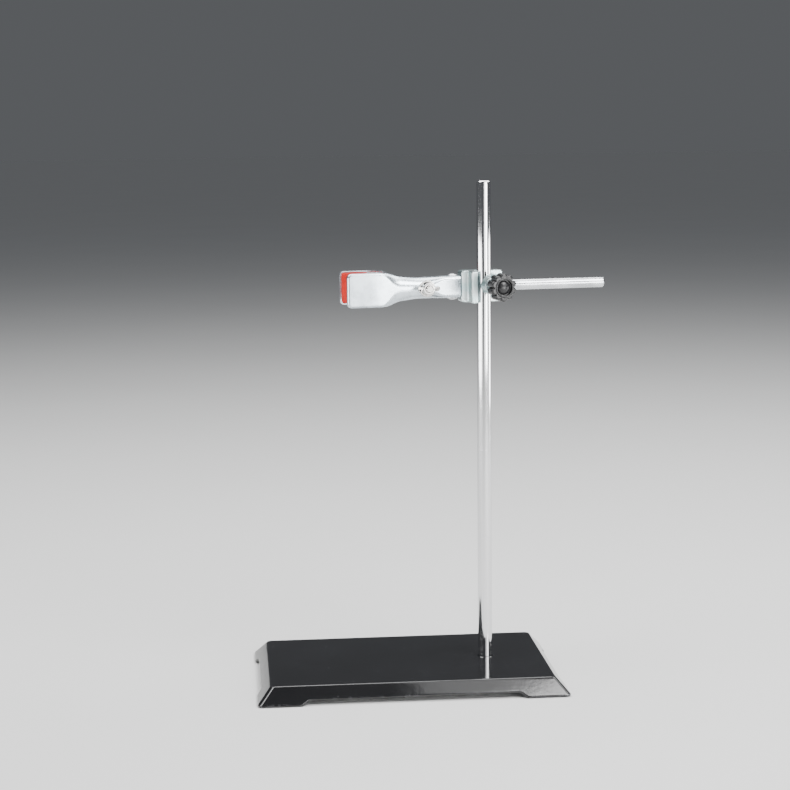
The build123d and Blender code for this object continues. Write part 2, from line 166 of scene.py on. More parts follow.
class JawSettings(bpy.types.PropertyGroup):
    """The two pressed jaws."""

    sheet: length(1.2, "Sheet", "Thickness of the jaws' steel")
    corner: length(3.0, "Tip corner", "Radius of the tip's corners")
    pad_bend: length(1.7, "Tray bend", "Bend radius round the pad's tray")
    channel_bend: FloatProperty(
        name="Channel bend", description="Bend radius of the channel, as a share of its half height",
        default=0.97, min=0.1, max=1.0, subtype="FACTOR",
    )


class KnobSettings(bpy.types.PropertyGroup):
    """The lobed knobs."""

    lobes: IntProperty(name="Lobes", description="Finger lobes round a knob", default=10, min=3, max=24)
    lobe: length(2.3, "Lobe radius", "Radius of one finger lobe")
    ring: length(6.5, "Ring radius", "Outer radius of the raised ring on the face")
    ring_wall: length(0.9, "Ring wall", "Width and height of the raised ring")
    recess: length(2.2, "Recess", "Depth of the recess inside the ring")
    dome: length(4.9, "Dome radius", "Radius of the domed middle")


class ThreadSettings(bpy.types.PropertyGroup):
    """Screw threads."""

    pitch: length(pitch_of("rod_screw_feed"), "Screw pitch", "Pitch of the clamping screws")
    bolt_pitch: length(pitch_of("nut_feed"), "Bolt pitch", "Pitch of the bolt")
    rod_pitch: length(1.5, "Rod pitch", "Pitch of the rod's threaded foot")
    depth: FloatProperty(
        name="Depth", description="Thread depth as a share of its pitch", default=0.55, min=0.1, max=0.7,
        subtype="FACTOR",
    )


class FinishSettings(bpy.types.PropertyGroup):
    """Colours of the finishes."""

    enamel: tint((0.006, 0.006, 0.0065), "Enamel", "Gloss enamel of the base")
    chrome: tint((0.78, 0.78, 0.79), "Chrome", "Plate of the upright rod")
    jaw: tint((0.66, 0.73, 0.78), "Jaw plate", "Bluish zinc plate of the jaws")
    cast: tint((0.70, 0.76, 0.76), "Casting", "Plated casting of the boss head")
    zinc: tint((0.62, 0.64, 0.66), "Zinc", "Zinc plate of the arm, nuts, rivets and screws")
    nickel: tint((0.64, 0.63, 0.61), "Nickel", "Bright plate of the wing nut, its washer and the bolt")
    plastic: tint((0.012, 0.012, 0.013), "Plastic", "Moulded knobs")
    rubber: tint((0.58, 0.010, 0.003), "Rubber", "Pads in the jaws")
    floor: tint((0.66, 0.66, 0.655), "Floor", "Studio floor")


SETTINGS = (BaseSettings, JawSettings, KnobSettings, ThreadSettings, FinishSettings)


# Arrays to meshes


def smoothstep(low, high, value):
    """Rises from 0 at low to 1 at high as 3t^2 - 2t^3."""
    t = np.clip((value - low) / (high - low), 0, 1)
    return t * t * (3 - 2 * t)


def grid_faces(rows, columns, closed_rows=False, closed_columns=False):
    """Quads between neighbouring rows and columns of a grid of points numbered row by row."""
    row = np.arange(rows if closed_rows else rows - 1)[:, None]
    column = np.arange(columns if closed_columns else columns - 1)[None, :]
    next_row = (row + 1) % rows
    next_column = (column + 1) % columns
    corners = [
        row * columns + column, row * columns + next_column,
        next_row * columns + next_column, next_row * columns + column,
    ]
    return np.stack(np.broadcast_arrays(*corners), -1).reshape(-1, 4)


def make_piece(name, points, faces, crease=35.0, wear=None):
    """An object from points and quads. Points that coincide are merged, which closes seams and poles,
    the surface is turned so that its signed volume is positive, and edges sharper than crease stay crisp."""
    mesh = bpy.data.meshes.new(name)
    points = np.ascontiguousarray(points.reshape(-1, 3), np.float32)
    mesh.vertices.add(len(points))
    mesh.vertices.foreach_set("co", points.ravel())
    mesh.loops.add(4 * len(faces))
    mesh.loops.foreach_set("vertex_index", np.ascontiguousarray(faces, np.int32).ravel())
    mesh.polygons.add(len(faces))
    mesh.polygons.foreach_set("loop_start", np.arange(len(faces), dtype=np.int32) * 4)
    mesh.update(calc_edges=True)
    if wear is not None:
        layer = mesh.attributes.new("wear", "FLOAT", "POINT")
        layer.data.foreach_set("value", np.ascontiguousarray(wear, np.float32).ravel())
    coincident, degenerate = 2e-6, 1e-7
    work = bmesh.new()
    work.from_mesh(mesh)
    bmesh.ops.remove_doubles(work, verts=work.verts, dist=coincident)
    bmesh.ops.dissolve_degenerate(work, edges=work.edges, dist=degenerate)
    if work.calc_volume(signed=True) < 0:
        bmesh.ops.reverse_faces(work, faces=work.faces)
    work.to_mesh(mesh)
    work.free()
    mesh.validate()
    piece = bpy.data.objects.new(name, mesh)
    bpy.context.scene.collection.objects.link(piece)
    shade(piece, crease)
    return piece


def shade(piece, crease):
    """Smooth shading with crisp edges where faces meet at more than crease degrees."""
    piece.data.shade_smooth()
    piece.data.set_sharp_from_angle(angle=math.radians(crease))


def apply_modifiers(piece):
    """Replaces a piece's mesh by the mesh its modifiers make, with its faces left as they are turned."""
    made = bpy.data.meshes.new_from_object(piece.evaluated_get(bpy.context.evaluated_depsgraph_get()))
    piece.modifiers.clear()
    piece.data = made


def stand_for(piece, node, material):
    """The piece takes the place, the body and the finish of a CAD node."""
    piece.data.materials.clear()
    piece.data.materials.append(material)
    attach(piece, frame["nodes"][node]["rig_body"])
    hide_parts(node)
    return piece


# Profiles and outlines


def rounded(corners, radii, steps=6):
    """A flat path whose inner corners become arcs. An arc leaves both sides at a distance of its radius
    over the tangent of half the angle between them, and its points turn evenly about its centre."""
    corners = np.array(corners, float)
    path = [corners[:1]]
    for before, corner, after, radius in zip(corners, corners[1:], corners[2:], radii):
        back = (before - corner) / np.linalg.norm(before - corner)
        ahead = (after - corner) / np.linalg.norm(after - corner)
        half = math.acos(np.clip(back @ ahead, -1, 1)) / 2
        if radius <= 0 or half > math.radians(89):
            path.append(corner[None])
            continue
        centre = corner + (back + ahead) / np.linalg.norm(back + ahead) * radius / math.sin(half)
        reach = radius / math.tan(half)
        start, end = corner + back * reach - centre, corner + ahead * reach - centre
        sweep = math.pi - 2 * half
        share = np.linspace(0, 1, steps + 1)[:, None]
        arc = np.sin((1 - share) * sweep) * start + np.sin(share * sweep) * end
        path.append(centre + arc / math.sin(sweep))
    path.append(corners[-1:])
    return np.concatenate(path)


def polygon_radius(theta, apothem, sides, sharpness=40):
    """Distance to the rim of a regular polygon with an even number of sides and soft corners: the apothem
    over the high-power mean of the cosines of the angles from each pair of sides."""
    total = sum(np.abs(np.cos(theta - TURN * k / sides)) ** sharpness for k in range(sides // 2))
    return apothem / total ** (1 / sharpness)


def box_radius(theta, half_x, half_y, power):
    """Distance to the rim of a rectangle with soft corners: one over the high-power mean of the cosine over
    its half length in x and the sine over its half length in y."""
    sides = (np.abs(np.cos(theta)) / half_x) ** power + (np.abs(np.sin(theta)) / half_y) ** power
    return sides ** (-1 / power)


def thread_ridge(theta, height, pitch):
    """0 in a thread's root and 1 on its crest: a triangle wave of height over pitch less the share of a turn,
    with its crests and roots flattened."""
    phase = (height / pitch - theta / TURN) % 1.0
    return np.clip(1.5 * np.abs(2 * phase - 1) - 0.25, 0, 1)


def lathe(name, axes, profile, around=72, shape=None, closed=False, crease=35.0, wear=None):
    """A profile of (radius, height) rows turned about the axes' z. shape(theta, radius, height) may change
    the radius of each point. A closed profile joins its last row to its first, and an open one starts and
    ends at radius 0."""
    theta = np.linspace(0, TURN, around, endpoint=False)[None, :]
    radius, height = profile[:, :1], profile[:, 1:]
    spread = radius + 0 * theta if shape is None else shape(theta, radius, height)
    points = np.stack((spread * np.cos(theta), spread * np.sin(theta), height + 0 * theta), -1)
    faces = grid_faces(len(profile), around, closed_rows=closed, closed_columns=True)
    marks = None if wear is None else np.repeat(wear[:, None], around, 1)
    return make_piece(name, axes.world(points), faces, crease, marks)


def dome_rows(radius, rise, apex, side, steps):
    """Profile rows of a dome that is a part of a ball, from its apex to its edge. The ball's radius is
    (radius^2 + rise^2) / 2 rise, and the dome spreads to radius as it leaves its apex by rise."""
    ball = (radius**2 + rise**2) / (2 * rise)
    angle = math.asin(radius / ball) * np.linspace(0, 1, steps)
    return np.column_stack((ball * np.sin(angle), apex + side * ball * (1 - np.cos(angle))))


def finely(profile, spacing):
    """The profile with each long side divided so that no step is longer than spacing."""
    steps = np.maximum(1, np.ceil(np.linalg.norm(np.diff(profile, axis=0), axis=1) / spacing)).astype(int)
    parts = [np.linspace(a, b, n, endpoint=False) for a, b, n in zip(profile, profile[1:], steps)]
    return np.concatenate(parts + [profile[-1:]])


# Materials as expressions


# Numbers of the colour sockets on a Mix node, whose names are shared with its other types
MIX_FIRST, MIX_SECOND, MIX_RESULT = 6, 7, 2


class Value:
    """A socket of a material's node tree. Arithmetic with numbers and other values adds Math nodes."""

    def __init__(self, tree, socket):
        self.tree = tree
        self.socket = socket

    def math(self, operation, *inputs):
        """A Math node of that operation on values and numbers."""
        node = self.tree.nodes.new("ShaderNodeMath")
        node.operation = operation
        for place, value in zip(node.inputs, inputs):
            feed(self.tree, place, value)
        return Value(self.tree, node.outputs[0])

    def __add__(self, other):
        return self.math("ADD", self, other)

    def __sub__(self, other):
        return self.math("SUBTRACT", self, other)

    def __rsub__(self, other):
        return self.math("SUBTRACT", other, self)

    def __mul__(self, other):
        return self.math("MULTIPLY", self, other)

    __radd__ = __add__
    __rmul__ = __mul__


def feed(tree, place, value):
    """Links a value to a socket, or sets the socket to a number or a colour."""
    if isinstance(value, Value):
        tree.links.new(value.socket, place)
    elif hasattr(value, "__len__") and len(value) == 3 and place.type == "RGBA":
        place.default_value = (*value, 1)
    else:
        place.default_value = value


class Finish:
    """A material whose look is written as expressions on Object coordinates."""

    def __init__(self, name):
        self.material = bpy.data.materials.new(name)
        self.material.use_nodes = True
        self.tree = self.material.node_tree
        self.tree.nodes.clear()

    def node(self, kind, inputs=(), settings=(), output=0):
        """Adds any node: its settings first, then its inputs by name or number."""
        node = self.tree.nodes.new(kind)
        for key, value in dict(settings).items():
            setattr(node, key, value)
        for key, value in dict(inputs).items():
            feed(self.tree, node.inputs[key], value)
        return Value(self.tree, node.outputs[output])

    def place(self, stretch=(1, 1, 1), turn=0.0, about=(0, 0, 0)):
        """Object coordinates measured from about, turned about the upright and stretched."""
        here = self.node("ShaderNodeTexCoord", output="Object")
        moved = self.node("ShaderNodeVectorMath", {0: here, 1: about}, {"operation": "SUBTRACT"})
        turned = self.node("ShaderNodeMapping", {"Vector": moved, "Rotation": (0, 0, turn)})
        return self.node("ShaderNodeVectorMath", {0: turned, 1: stretch}, {"operation": "MULTIPLY"})

    def noise(self, scale, detail=3.0, rough=0.5, where=None):
        """Soft noise between 0 and 1, scale features to the metre."""
        where = where or self.place()
        inputs = {"Vector": where, "Scale": scale, "Detail": detail, "Roughness": rough}
        return self.node("ShaderNodeTexNoise", inputs, {"noise_dimensions": "3D"})

    def cells(self, scale):
        """Distance to the nearest of randomly strewn points, scale of them to the metre."""
        inputs = {"Vector": self.place(), "Scale": scale}
        return self.node("ShaderNodeTexVoronoi", inputs, {"feature": "F1"}, output="Distance")

    def ramp(self, value, low, high, start=0.0, end=1.0):
        """Start below low and end above high, with a smooth step between."""
        inputs = {"Value": value, "From Min": low, "From Max": high, "To Min": start, "To Max": end}
        return self.node("ShaderNodeMapRange", inputs, {"interpolation_type": "SMOOTHSTEP"})

    def wear(self):
        """The piece's own wear attribute: rubbed places, and on the base's and the jaws' edges also a painted
        highlight.
        """
        return self.node("ShaderNodeAttribute", settings={"attribute_name": "wear"}, output="Fac")

    def blend(self, factor, first, second):
        """First where factor is 0, second where it is 1."""
        inputs = {"Factor": factor, MIX_FIRST: first, MIX_SECOND: second}
        return self.node("ShaderNodeMix", inputs, {"data_type": "RGBA"}, output=MIX_RESULT)

    def bump(self, height, strength, depth):
        """A normal tilted by a height, depth metres from its lowest to its highest."""
        return self.node("ShaderNodeBump", {"Height": height, "Strength": strength, "Distance": depth})

    def done(self, **looks):
        """Feeds the shader's sockets, named with underscores for spaces, and returns the material."""
        inputs = {key.replace("_", " "): value for key, value in looks.items()}
        shader = self.node("ShaderNodeBsdfPrincipled", inputs)
        output = self.tree.nodes.new("ShaderNodeOutputMaterial")
        self.tree.links.new(shader.socket, output.inputs["Surface"])
        return self.material


def scaled(colour, share):
    """A lighter or darker share of a colour, with no part over 1."""
    return tuple(min(1.0, part * share) for part in colour)


def enamel_finish(colour):
    """Gloss enamel: a faint orange peel, drifting depth, dust nibs, and thin lighter edges that are a painted
    highlight together with rubbed enamel.
    """
    look = Finish("gloss_enamel")
    peel = look.noise(330, 2)
    ripple = look.noise(60, 3)
    drift = look.noise(16, 5, 0.6)
    nib = look.ramp(look.cells(210), 0.10, 0.05) * look.ramp(look.noise(70, 1), 0.55, 0.60)
    dust = look.ramp(look.noise(2600, 2, 0.7), 0.70, 0.80) * look.ramp(drift, 0.45, 0.7)
    # Lighter grey where the wear attribute is set: a painted highlight along the top bend and the corner
    # ridges, together with rubbed enamel.
    rub = look.wear() * look.ramp(look.noise(420, 6, 0.7), 0.47, 0.64)
    body = look.blend(drift, scaled(colour, 0.6), scaled(colour, 1.8))
    dusty = look.blend(dust * 0.35 + nib * 0.5, body, (0.20, 0.20, 0.21))
    tone = look.blend(rub * 0.55, dusty, (0.16, 0.16, 0.17))
    rough = 0.055 + drift * 0.07 + dust * 0.35 + rub * 0.25
    height = peel * 0.45 + ripple * 0.8 + nib * 1.2
    return look.done(
        Base_Color=tone, Roughness=rough, IOR=1.5, Coat_Weight=0.2, Coat_Roughness=0.04,
        Normal=look.bump(height, 0.12, 0.0004),
    )


def chrome_finish(colour):
    """Bright plate with draw lines along the rod, a few rings of rub marks and faint water marks."""
    look = Finish("bright_chrome")
    about = tuple(ROD_FOOT)
    lines = look.noise(1.0, 4, 0.6, look.place((1500, 1500, 7), about=about))
    rings = look.noise(1.0, 3, 0.6, look.place((90, 90, 900), about=about))
    patches = look.noise(22, 4, 0.55)
    rub = look.ramp(rings, 0.60, 0.75) * look.ramp(patches, 0.45, 0.65)
    tone = look.blend(look.ramp(lines, 0.35, 0.7) * 0.5, colour, scaled(colour, 0.80))
    rough = 0.05 + lines * 0.07 + rub * 0.16 + look.ramp(patches, 0.5, 0.8) * 0.04
    return look.done(
        Base_Color=tone, Metallic=1.0, Roughness=rough,
        Normal=look.bump(lines * 0.6 + rings * 0.2, 0.07, 0.0003),
    )


def plate_finish(name, colour, turn, along, rough=0.26, grain=0.10, warm=(0.80, 0.76, 0.66)):
    """Satin zinc plate: grain drawn along the piece, bluish and straw clouds, small dings, and lighter rims
    that are a painted highlight together with rubbed plate.
    """
    look = Finish(name)
    about = tuple(CLAMP.origin)
    lines = look.noise(1.0, 4, 0.6, look.place(along, turn, about))
    cloud = look.noise(75, 5, 0.6)
    spangle = look.noise(900, 3, 0.7)
    straw = look.ramp(look.noise(38, 3), 0.52, 0.75)
    ding = look.ramp(look.cells(150), 0.16, 0.04) * look.ramp(look.noise(45, 2), 0.56, 0.62)
    body = look.blend(look.ramp(cloud, 0.35, 0.65), scaled(colour, 0.80), scaled(colour, 1.12))
    tinted = look.blend(straw * 0.25, body, warm)
    # Lighter where the wear attribute is set: a painted highlight along the jaws' rims and bends, together
    # with rubbed plate there and at the arm's end.
    tone = look.blend(look.wear() * 0.45, tinted, scaled(colour, 1.22))
    soft = rough + (cloud - 0.5) * 0.20 + (spangle - 0.5) * 0.14 + lines * grain - look.wear() * 0.06
    height = lines * 0.5 + spangle * 0.25 + cloud * 0.6 - ding * 1.5
    return look.done(Base_Color=tone, Metallic=1.0, Roughness=soft, Normal=look.bump(height, 0.16, 0.0003))


def cast_finish(colour):
    """Plated casting: a sandy skin, teal and grey clouds of passivation, pits, and rubbed high spots."""
    look = Finish("plated_casting")
    sand = look.noise(1400, 4, 0.7)
    lumps = look.noise(260, 3)
    cloud = look.noise(110, 4, 0.6)
    pit = look.ramp(look.cells(520), 0.20, 0.06) * look.ramp(look.noise(150, 2), 0.52, 0.60)
    body = look.blend(look.ramp(cloud, 0.35, 0.65), colour, (0.50, 0.64, 0.65))
    rubbed = look.blend(look.ramp(sand, 0.5, 0.8) * 0.4, body, scaled(colour, 1.25))
    tone = look.blend(pit * 0.6, rubbed, (0.2, 0.24, 0.24))
    rough = 0.20 + sand * 0.16 + cloud * 0.08 + pit * 0.2
    return look.done(
        Base_Color=tone, Metallic=1.0, Roughness=rough,
        Normal=look.bump(sand * 0.35 + lumps * 0.8 - pit * 0.8, 0.28, 0.0003),
    )


def nickel_finish(colour):
    """Bright plate over a small casting: slight waviness, tarnish in patches and fine scratches."""
    look = Finish("bright_nickel")
    wave = look.noise(420, 3)
    tarnish = look.ramp(look.noise(240, 5, 0.65), 0.5, 0.72)
    scratch = look.ramp(look.noise(1.0, 3, 0.6, look.place((2600, 500, 2600))), 0.62, 0.75)
    tone = look.blend(tarnish * 0.5, colour, (0.55, 0.51, 0.44))
    rough = 0.10 + wave * 0.10 + tarnish * 0.16 + scratch * 0.15
    return look.done(
        Base_Color=tone, Metallic=1.0, Roughness=rough, Normal=look.bump(wave + scratch * -0.3, 0.12, 0.0002)
    )


def plastic_finish(colour):
    """Moulded black plastic: fine spark grain, faint flow marks, scuffed lobes and grey bloom."""
    look = Finish("moulded_plastic")
    grain = look.noise(2600, 3, 0.7)
    flow = look.noise(130, 4, 0.6)
    scuff = look.ramp(look.noise(700, 6, 0.75), 0.50, 0.66) * look.wear()
    tone = look.blend(scuff * 0.5 + look.ramp(flow, 0.5, 0.8) * 0.05, colour, (0.09, 0.09, 0.09))
    rough = 0.22 + grain * 0.06 + flow * 0.12 + scuff * 0.20
    return look.done(
        Base_Color=tone, Roughness=rough, IOR=1.49, Normal=look.bump(grain * 0.4 + flow * 0.5, 0.07, 0.0002)
    )


def rubber_finish(colour):
    """Soft red rubber: fine matt grain, tiny specks of chalk and slightly darker, shinier patches."""
    look = Finish("pad_rubber")
    grain = look.noise(1900, 4, 0.7)
    patch = look.noise(170, 4, 0.6)
    chalk = look.ramp(look.noise(3200, 2), 0.70, 0.80)
    body = look.blend(look.ramp(patch, 0.3, 0.7), scaled(colour, 0.82), scaled(colour, 1.12))
    tone = look.blend(chalk * 0.16, body, (0.95, 0.35, 0.25))
    return look.done(
        Base_Color=tone, Roughness=0.50 + patch * 0.14 + grain * 0.10, IOR=1.48,
        Normal=look.bump(grain + chalk * 0.4, 0.30, 0.0002),
    )


def wire_finish():
    """Drawn spring wire: dark oil film in patches over grey steel."""
    look = Finish("spring_wire")
    film = look.noise(480, 4, 0.6)
    draw = look.noise(2200, 3)
    tone = look.blend(look.ramp(film, 0.35, 0.7), (0.40, 0.41, 0.43), (0.62, 0.63, 0.64))
    return look.done(
        Base_Color=tone, Metallic=1.0, Roughness=0.24 + film * 0.14 + draw * 0.08,
        Normal=look.bump(draw, 0.12, 0.0002),
    )


def floor_finish(colour):
    """Pale matt paper with a barely visible tooth."""
    look = Finish("pale_floor")
    tooth = look.noise(900, 3)
    cloud = look.noise(3, 3)
    tone = look.blend(cloud, scaled(colour, 0.97), scaled(colour, 1.02))
    return look.done(Base_Color=tone, Roughness=0.72 + tooth * 0.1, Normal=look.bump(tooth, 0.05, 0.0003))


FINISHES = {}


def finish(name):
    """The material of that name, made the first time that it is asked for."""
    if name not in FINISHES:
        colours = bpy.context.scene.retort_finish
        turn = -math.atan2(ALONG_ARM[1], ALONG_ARM[0])
        zinc = colours.zinc
        # Lines to the metre along the arm, across it and upwards
        drawn_along, turned_bar, even = (60, 900, 900), (700, 60, 60), (400, 400, 400)
        makers = {
            "enamel": lambda: enamel_finish(colours.enamel),
            "chrome": lambda: chrome_finish(colours.chrome),
            "jaw": lambda: plate_finish("jaw_plate", colours.jaw, turn, drawn_along),
            "arm": lambda: plate_finish(
                "arm_plate", zinc, turn, turned_bar, rough=0.20, grain=0.12, warm=(0.74, 0.73, 0.70)
            ),
            "zinc": lambda: plate_finish("zinc_plate", zinc, turn, even, rough=0.24, grain=0.08),
            "cast": lambda: cast_finish(colours.cast),
            "nickel": lambda: nickel_finish(colours.nickel),
            "plastic": lambda: plastic_finish(colours.plastic),
            "rubber": lambda: rubber_finish(colours.rubber),
            "wire": wire_finish,
            "floor": lambda: floor_finish(colours.floor),
        }
        FINISHES[name] = makers[name]()
    return FINISHES[name]


# Pieces


def make_base(sizes):
    """The pressed base as one closed skin. Going round the rim, each place has a section: from the rod's hole
    over the plate, round the top bend, down the flared skirt to the hem, and back inside. The hem's height
    follows the place on the rim, low at the four feet and lifted between them."""
    low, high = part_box("base_shell")
    top = high.z
    half = np.array((high.x, high.y)) - sizes.flare
    sheet, bend, flare = sizes.sheet, sizes.bend, sizes.flare
    hole = ROD.box("support_rod")[1][0] + 0.3 * MM
    corner_steps = 10
    quarter = np.linspace(0, TURN / 4, corner_steps, endpoint=False)
    spread, normals, lift_share = [], [], []
    for k, sign in enumerate(np.array(((1.0, 1.0), (-1.0, 1.0), (-1.0, -1.0), (1.0, -1.0)))):
        # The side that ends in corner k, then the corner itself
        start = TURN * k / 4
        fixed, running = k % 2, (k + 1) % 2
        foot, steps = ((sizes.foot_short, 90), (sizes.foot_long, 150))[fixed]
        share = np.linspace(-1, 1, steps, endpoint=False)
        line = np.empty((steps, 2))
        line[:, fixed] = sign[fixed]
        line[:, running] = share * sign[running]
        spread.append(line)
        normals.append(np.broadcast_to(np.array((math.cos(start), math.sin(start))).round(9), (steps, 2)))
        from_corner = (1 - np.abs(share)) * (half[running] + flare)
        lift_share.append(smoothstep(foot, foot + sizes.foot_slope, from_corner))
        angle = start + quarter
        spread.append(np.broadcast_to(sign, (corner_steps, 2)))
        normals.append(np.stack((np.cos(angle), np.sin(angle)), -1))
        lift_share.append(np.zeros(corner_steps))
    spread, normals, lift = np.concatenate(spread), np.concatenate(normals), np.concatenate(lift_share)
    bottom = low.z + sizes.lift * lift
    ridge = sizes.ridge

    def rim(out, height):
        """Places on the rim at a distance out beyond the plate and at a height."""
        flat = spread * (half + np.reshape(out, (-1, 1)) - ridge) + normals * ridge
        return np.column_stack((flat, np.broadcast_to(height, len(flat))))

    # The hem's roll stands on the bench and reaches the full flare, so the skirt's outer face stops short
    short_out, short_down = 0.11 * sheet, 0.83 * sheet
    run_down = (flare - short_out) / (top - low.z - short_down)
    slope = math.atan(1 / run_down)
    tilt = np.linspace(0, slope, 9)
    reach = bend * math.tan(slope / 2)
    outer_bend = [rim(-reach + bend * math.sin(t), top - bend * (1 - math.cos(t))) for t in tilt]
    bend_end = (-reach + bend * math.sin(slope), top - bend * (1 - math.cos(slope)))
    last_height = bottom + sheet / 2 * (1 + math.cos(slope))

    def skirt(share, inset):
        """A row on the skirt, share of the way down to the hem, set in square to the sheet."""
        height = bend_end[1] + (last_height - bend_end[1]) * share
        out = bend_end[0] + (bend_end[1] - height) * run_down
        return rim(out - inset * math.sin(slope), height - inset * math.cos(slope))

    down = np.linspace(0, 1, 12)[1:]
    outer_skirt = [skirt(share, 0) for share in down]
    inner_skirt = [skirt(share, sheet) for share in down[::-1]]
    last_out = bend_end[0] + (bend_end[1] - last_height) * run_down
    centre = rim(last_out - sheet / 2 * math.sin(slope), last_height - sheet / 2 * math.cos(slope))
    outer_edge = outer_skirt[-1] - centre
    downwards = skirt(1 + 0.05, sheet / 2) - skirt(1, sheet / 2)
    downwards *= sheet / 2 / np.linalg.norm(downwards, axis=1, keepdims=True)
    hem = [
        centre + outer_edge * math.cos(angle) + downwards * math.sin(angle)
        for angle in np.linspace(0, math.pi, 9)[1:-1]
    ]
    inner_radius = max(bend - sheet, 0.3 * MM)
    inner_reach = inner_radius * math.tan(slope / 2)
    inner_out = -sheet * math.tan(slope / 2)
    under = top - sheet
    inner_bend = [
        rim(inner_out - inner_reach + inner_radius * math.sin(t), under - inner_radius * (1 - math.cos(t)))
        for t in tilt[::-1]
    ]
    chamfer = 0.5 * MM

    def hole_row(edge, out, height):
        """A ring round the rod's hole, with each place opposite its place on the plate's rim."""
        away = edge[:, :2] - ROD_FOOT[:2]
        away /= np.linalg.norm(away, axis=1, keepdims=True)
        return np.column_stack((ROD_FOOT[:2] + away * (hole + chamfer * out), np.full(len(edge), height)))

    def plate_rows(edge, height, shares):
        """Rows on the flat plate from the rod's hole to its rim, eased towards both."""
        ring = hole_row(edge, 1.0, height)
        return [ring + (np.column_stack((edge[:, :2], ring[:, 2])) - ring) * share for share in shares]

    shares = np.array((0.0, 0.02, 0.08, 0.25, 0.5, 0.75, 0.94, 0.985))
    top_rows = plate_rows(outer_bend[0], top, shares)
    under_rows = plate_rows(inner_bend[-1], under, shares[::-1])
    wall = [
        hole_row(outer_bend[0], out, height)
        for out, height in (
            (0.3, under + 0.1 * chamfer), (0.0, under + chamfer),
            (0.0, top - chamfer), (0.3, top - 0.1 * chamfer),
        )
    ]
    rows = top_rows + outer_bend + outer_skirt + hem + inner_skirt + inner_bend + under_rows + wall
    # Marks that lighten the enamel, heaviest at the middle of the top bend, at the hem and on the corner
    # ridges: a painted highlight along the edges, together with rubbed enamel.
    worn = np.zeros(len(rows))
    first_bend = len(top_rows)
    first_skirt = first_bend + len(outer_bend)
    worn[first_bend:first_skirt] = 0.7 * np.sin(np.linspace(0, math.pi, len(outer_bend))) ** 2
    first_hem = first_skirt + len(outer_skirt)
    worn[first_hem - 1:first_hem + len(hem) + 1] = 1.0
    on_ridge = np.where(np.abs(normals).max(1) < 0.999, 1.0, 0.25)
    marks = worn[:, None] * on_ridge[None, :]
    points = np.stack(rows)
    faces = grid_faces(len(rows), points.shape[1], closed_rows=True, closed_columns=True)
    return make_piece("enamelled_base", points, faces, wear=marks)


def hex_nut(name, node):
    """A hexagon with both faces turned to a cone: each outer radius is the smaller of the hexagon's and the
    cone's. The bore carries a thread's lead-in."""
    low, high = ROD.box(node)
    apothem = high[1]
    corner = apothem / math.cos(TURN / 12)
    bore = ROD.box("support_rod")[1][0] + 0.03 * MM
    bottom, top = low[2], high[2]
    face, shoulder = apothem * 0.97, apothem * 1.01
    cone, lead_in = 0.7 * MM, 0.6 * MM
    outer = [
        (bore + lead_in, bottom), (face, bottom), (shoulder, bottom + cone / 4), (corner, bottom + cone),
        (corner, (bottom + top) / 2), (corner, top - cone), (shoulder, top - cone / 4), (face, top),
        (bore + lead_in, top), (bore, top - lead_in), (bore, bottom + lead_in),
    ]

    def shape(theta, radius, height):
        return np.minimum(radius, polygon_radius(theta + TURN / 12, apothem, sides=6, sharpness=90))

    return lathe(name, ROD, np.array(outer), around=180, shape=shape, closed=True, crease=30)


def make_rod(threads):
    """The upright rod: a turned bar with a rounded chamfer at the top, and a thread below the plate."""
    low, high = ROD.box("support_rod")
    radius = high[0]
    start, end = low[2], high[2]
    thread_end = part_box("base_shell")[1].z - 1.0 * MM
    chamfer, run_out = 0.8 * MM, 2 * MM
    depth = threads.depth * threads.rod_pitch
    corners = ((0, start), (radius - depth, start), (radius, start + depth), (radius, thread_end + MM))
    lower = finely(rounded(corners, (0.1 * MM, 0.1 * MM), steps=2), threads.rod_pitch / 10)
    upper = rounded(
        ((radius, thread_end + run_out), (radius, end - chamfer), (radius - chamfer, end), (0, end)),
        (0.5 * MM, 0.35 * MM), steps=5,
    )
    upper = np.insert(upper, 1, [(radius, end * share) for share in (0.25, 0.5, 0.75)], axis=0)
    core = 0.6 * radius

    def shape(theta, distance, height):
        cut = depth * (1 - thread_ridge(theta, height, threads.rod_pitch))
        fade = 1 - smoothstep(thread_end - run_out, thread_end, height)
        return np.where(distance > core, np.minimum(distance, radius - cut * fade), distance)

    return lathe("chrome_rod", ROD, np.concatenate((lower, upper)), around=96, shape=shape)


def make_screw(name, node, axes, threads):
    """A clamping screw: a turned shank with a chamfered tip and a thread over its whole length."""
    low, high = axes.box(node)
    radius = high[1]
    start, end = low[2], high[2]
    depth = threads.depth * threads.pitch
    tip = 1.2 * depth
    corners = ((0, start), (radius - tip, start), (radius, start + tip), (radius, end), (0, end))
    profile = finely(rounded(corners, (0.15 * MM, 0.15 * MM, 0.1 * MM), steps=2), threads.pitch / 10)
    core = 0.6 * radius

    def shape(theta, distance, height):
        cut = radius - depth * (1 - thread_ridge(theta, height, threads.pitch))
        return np.where(distance > core, np.minimum(distance, cut), distance)

    return lathe(name, axes, profile, around=64, shape=shape)


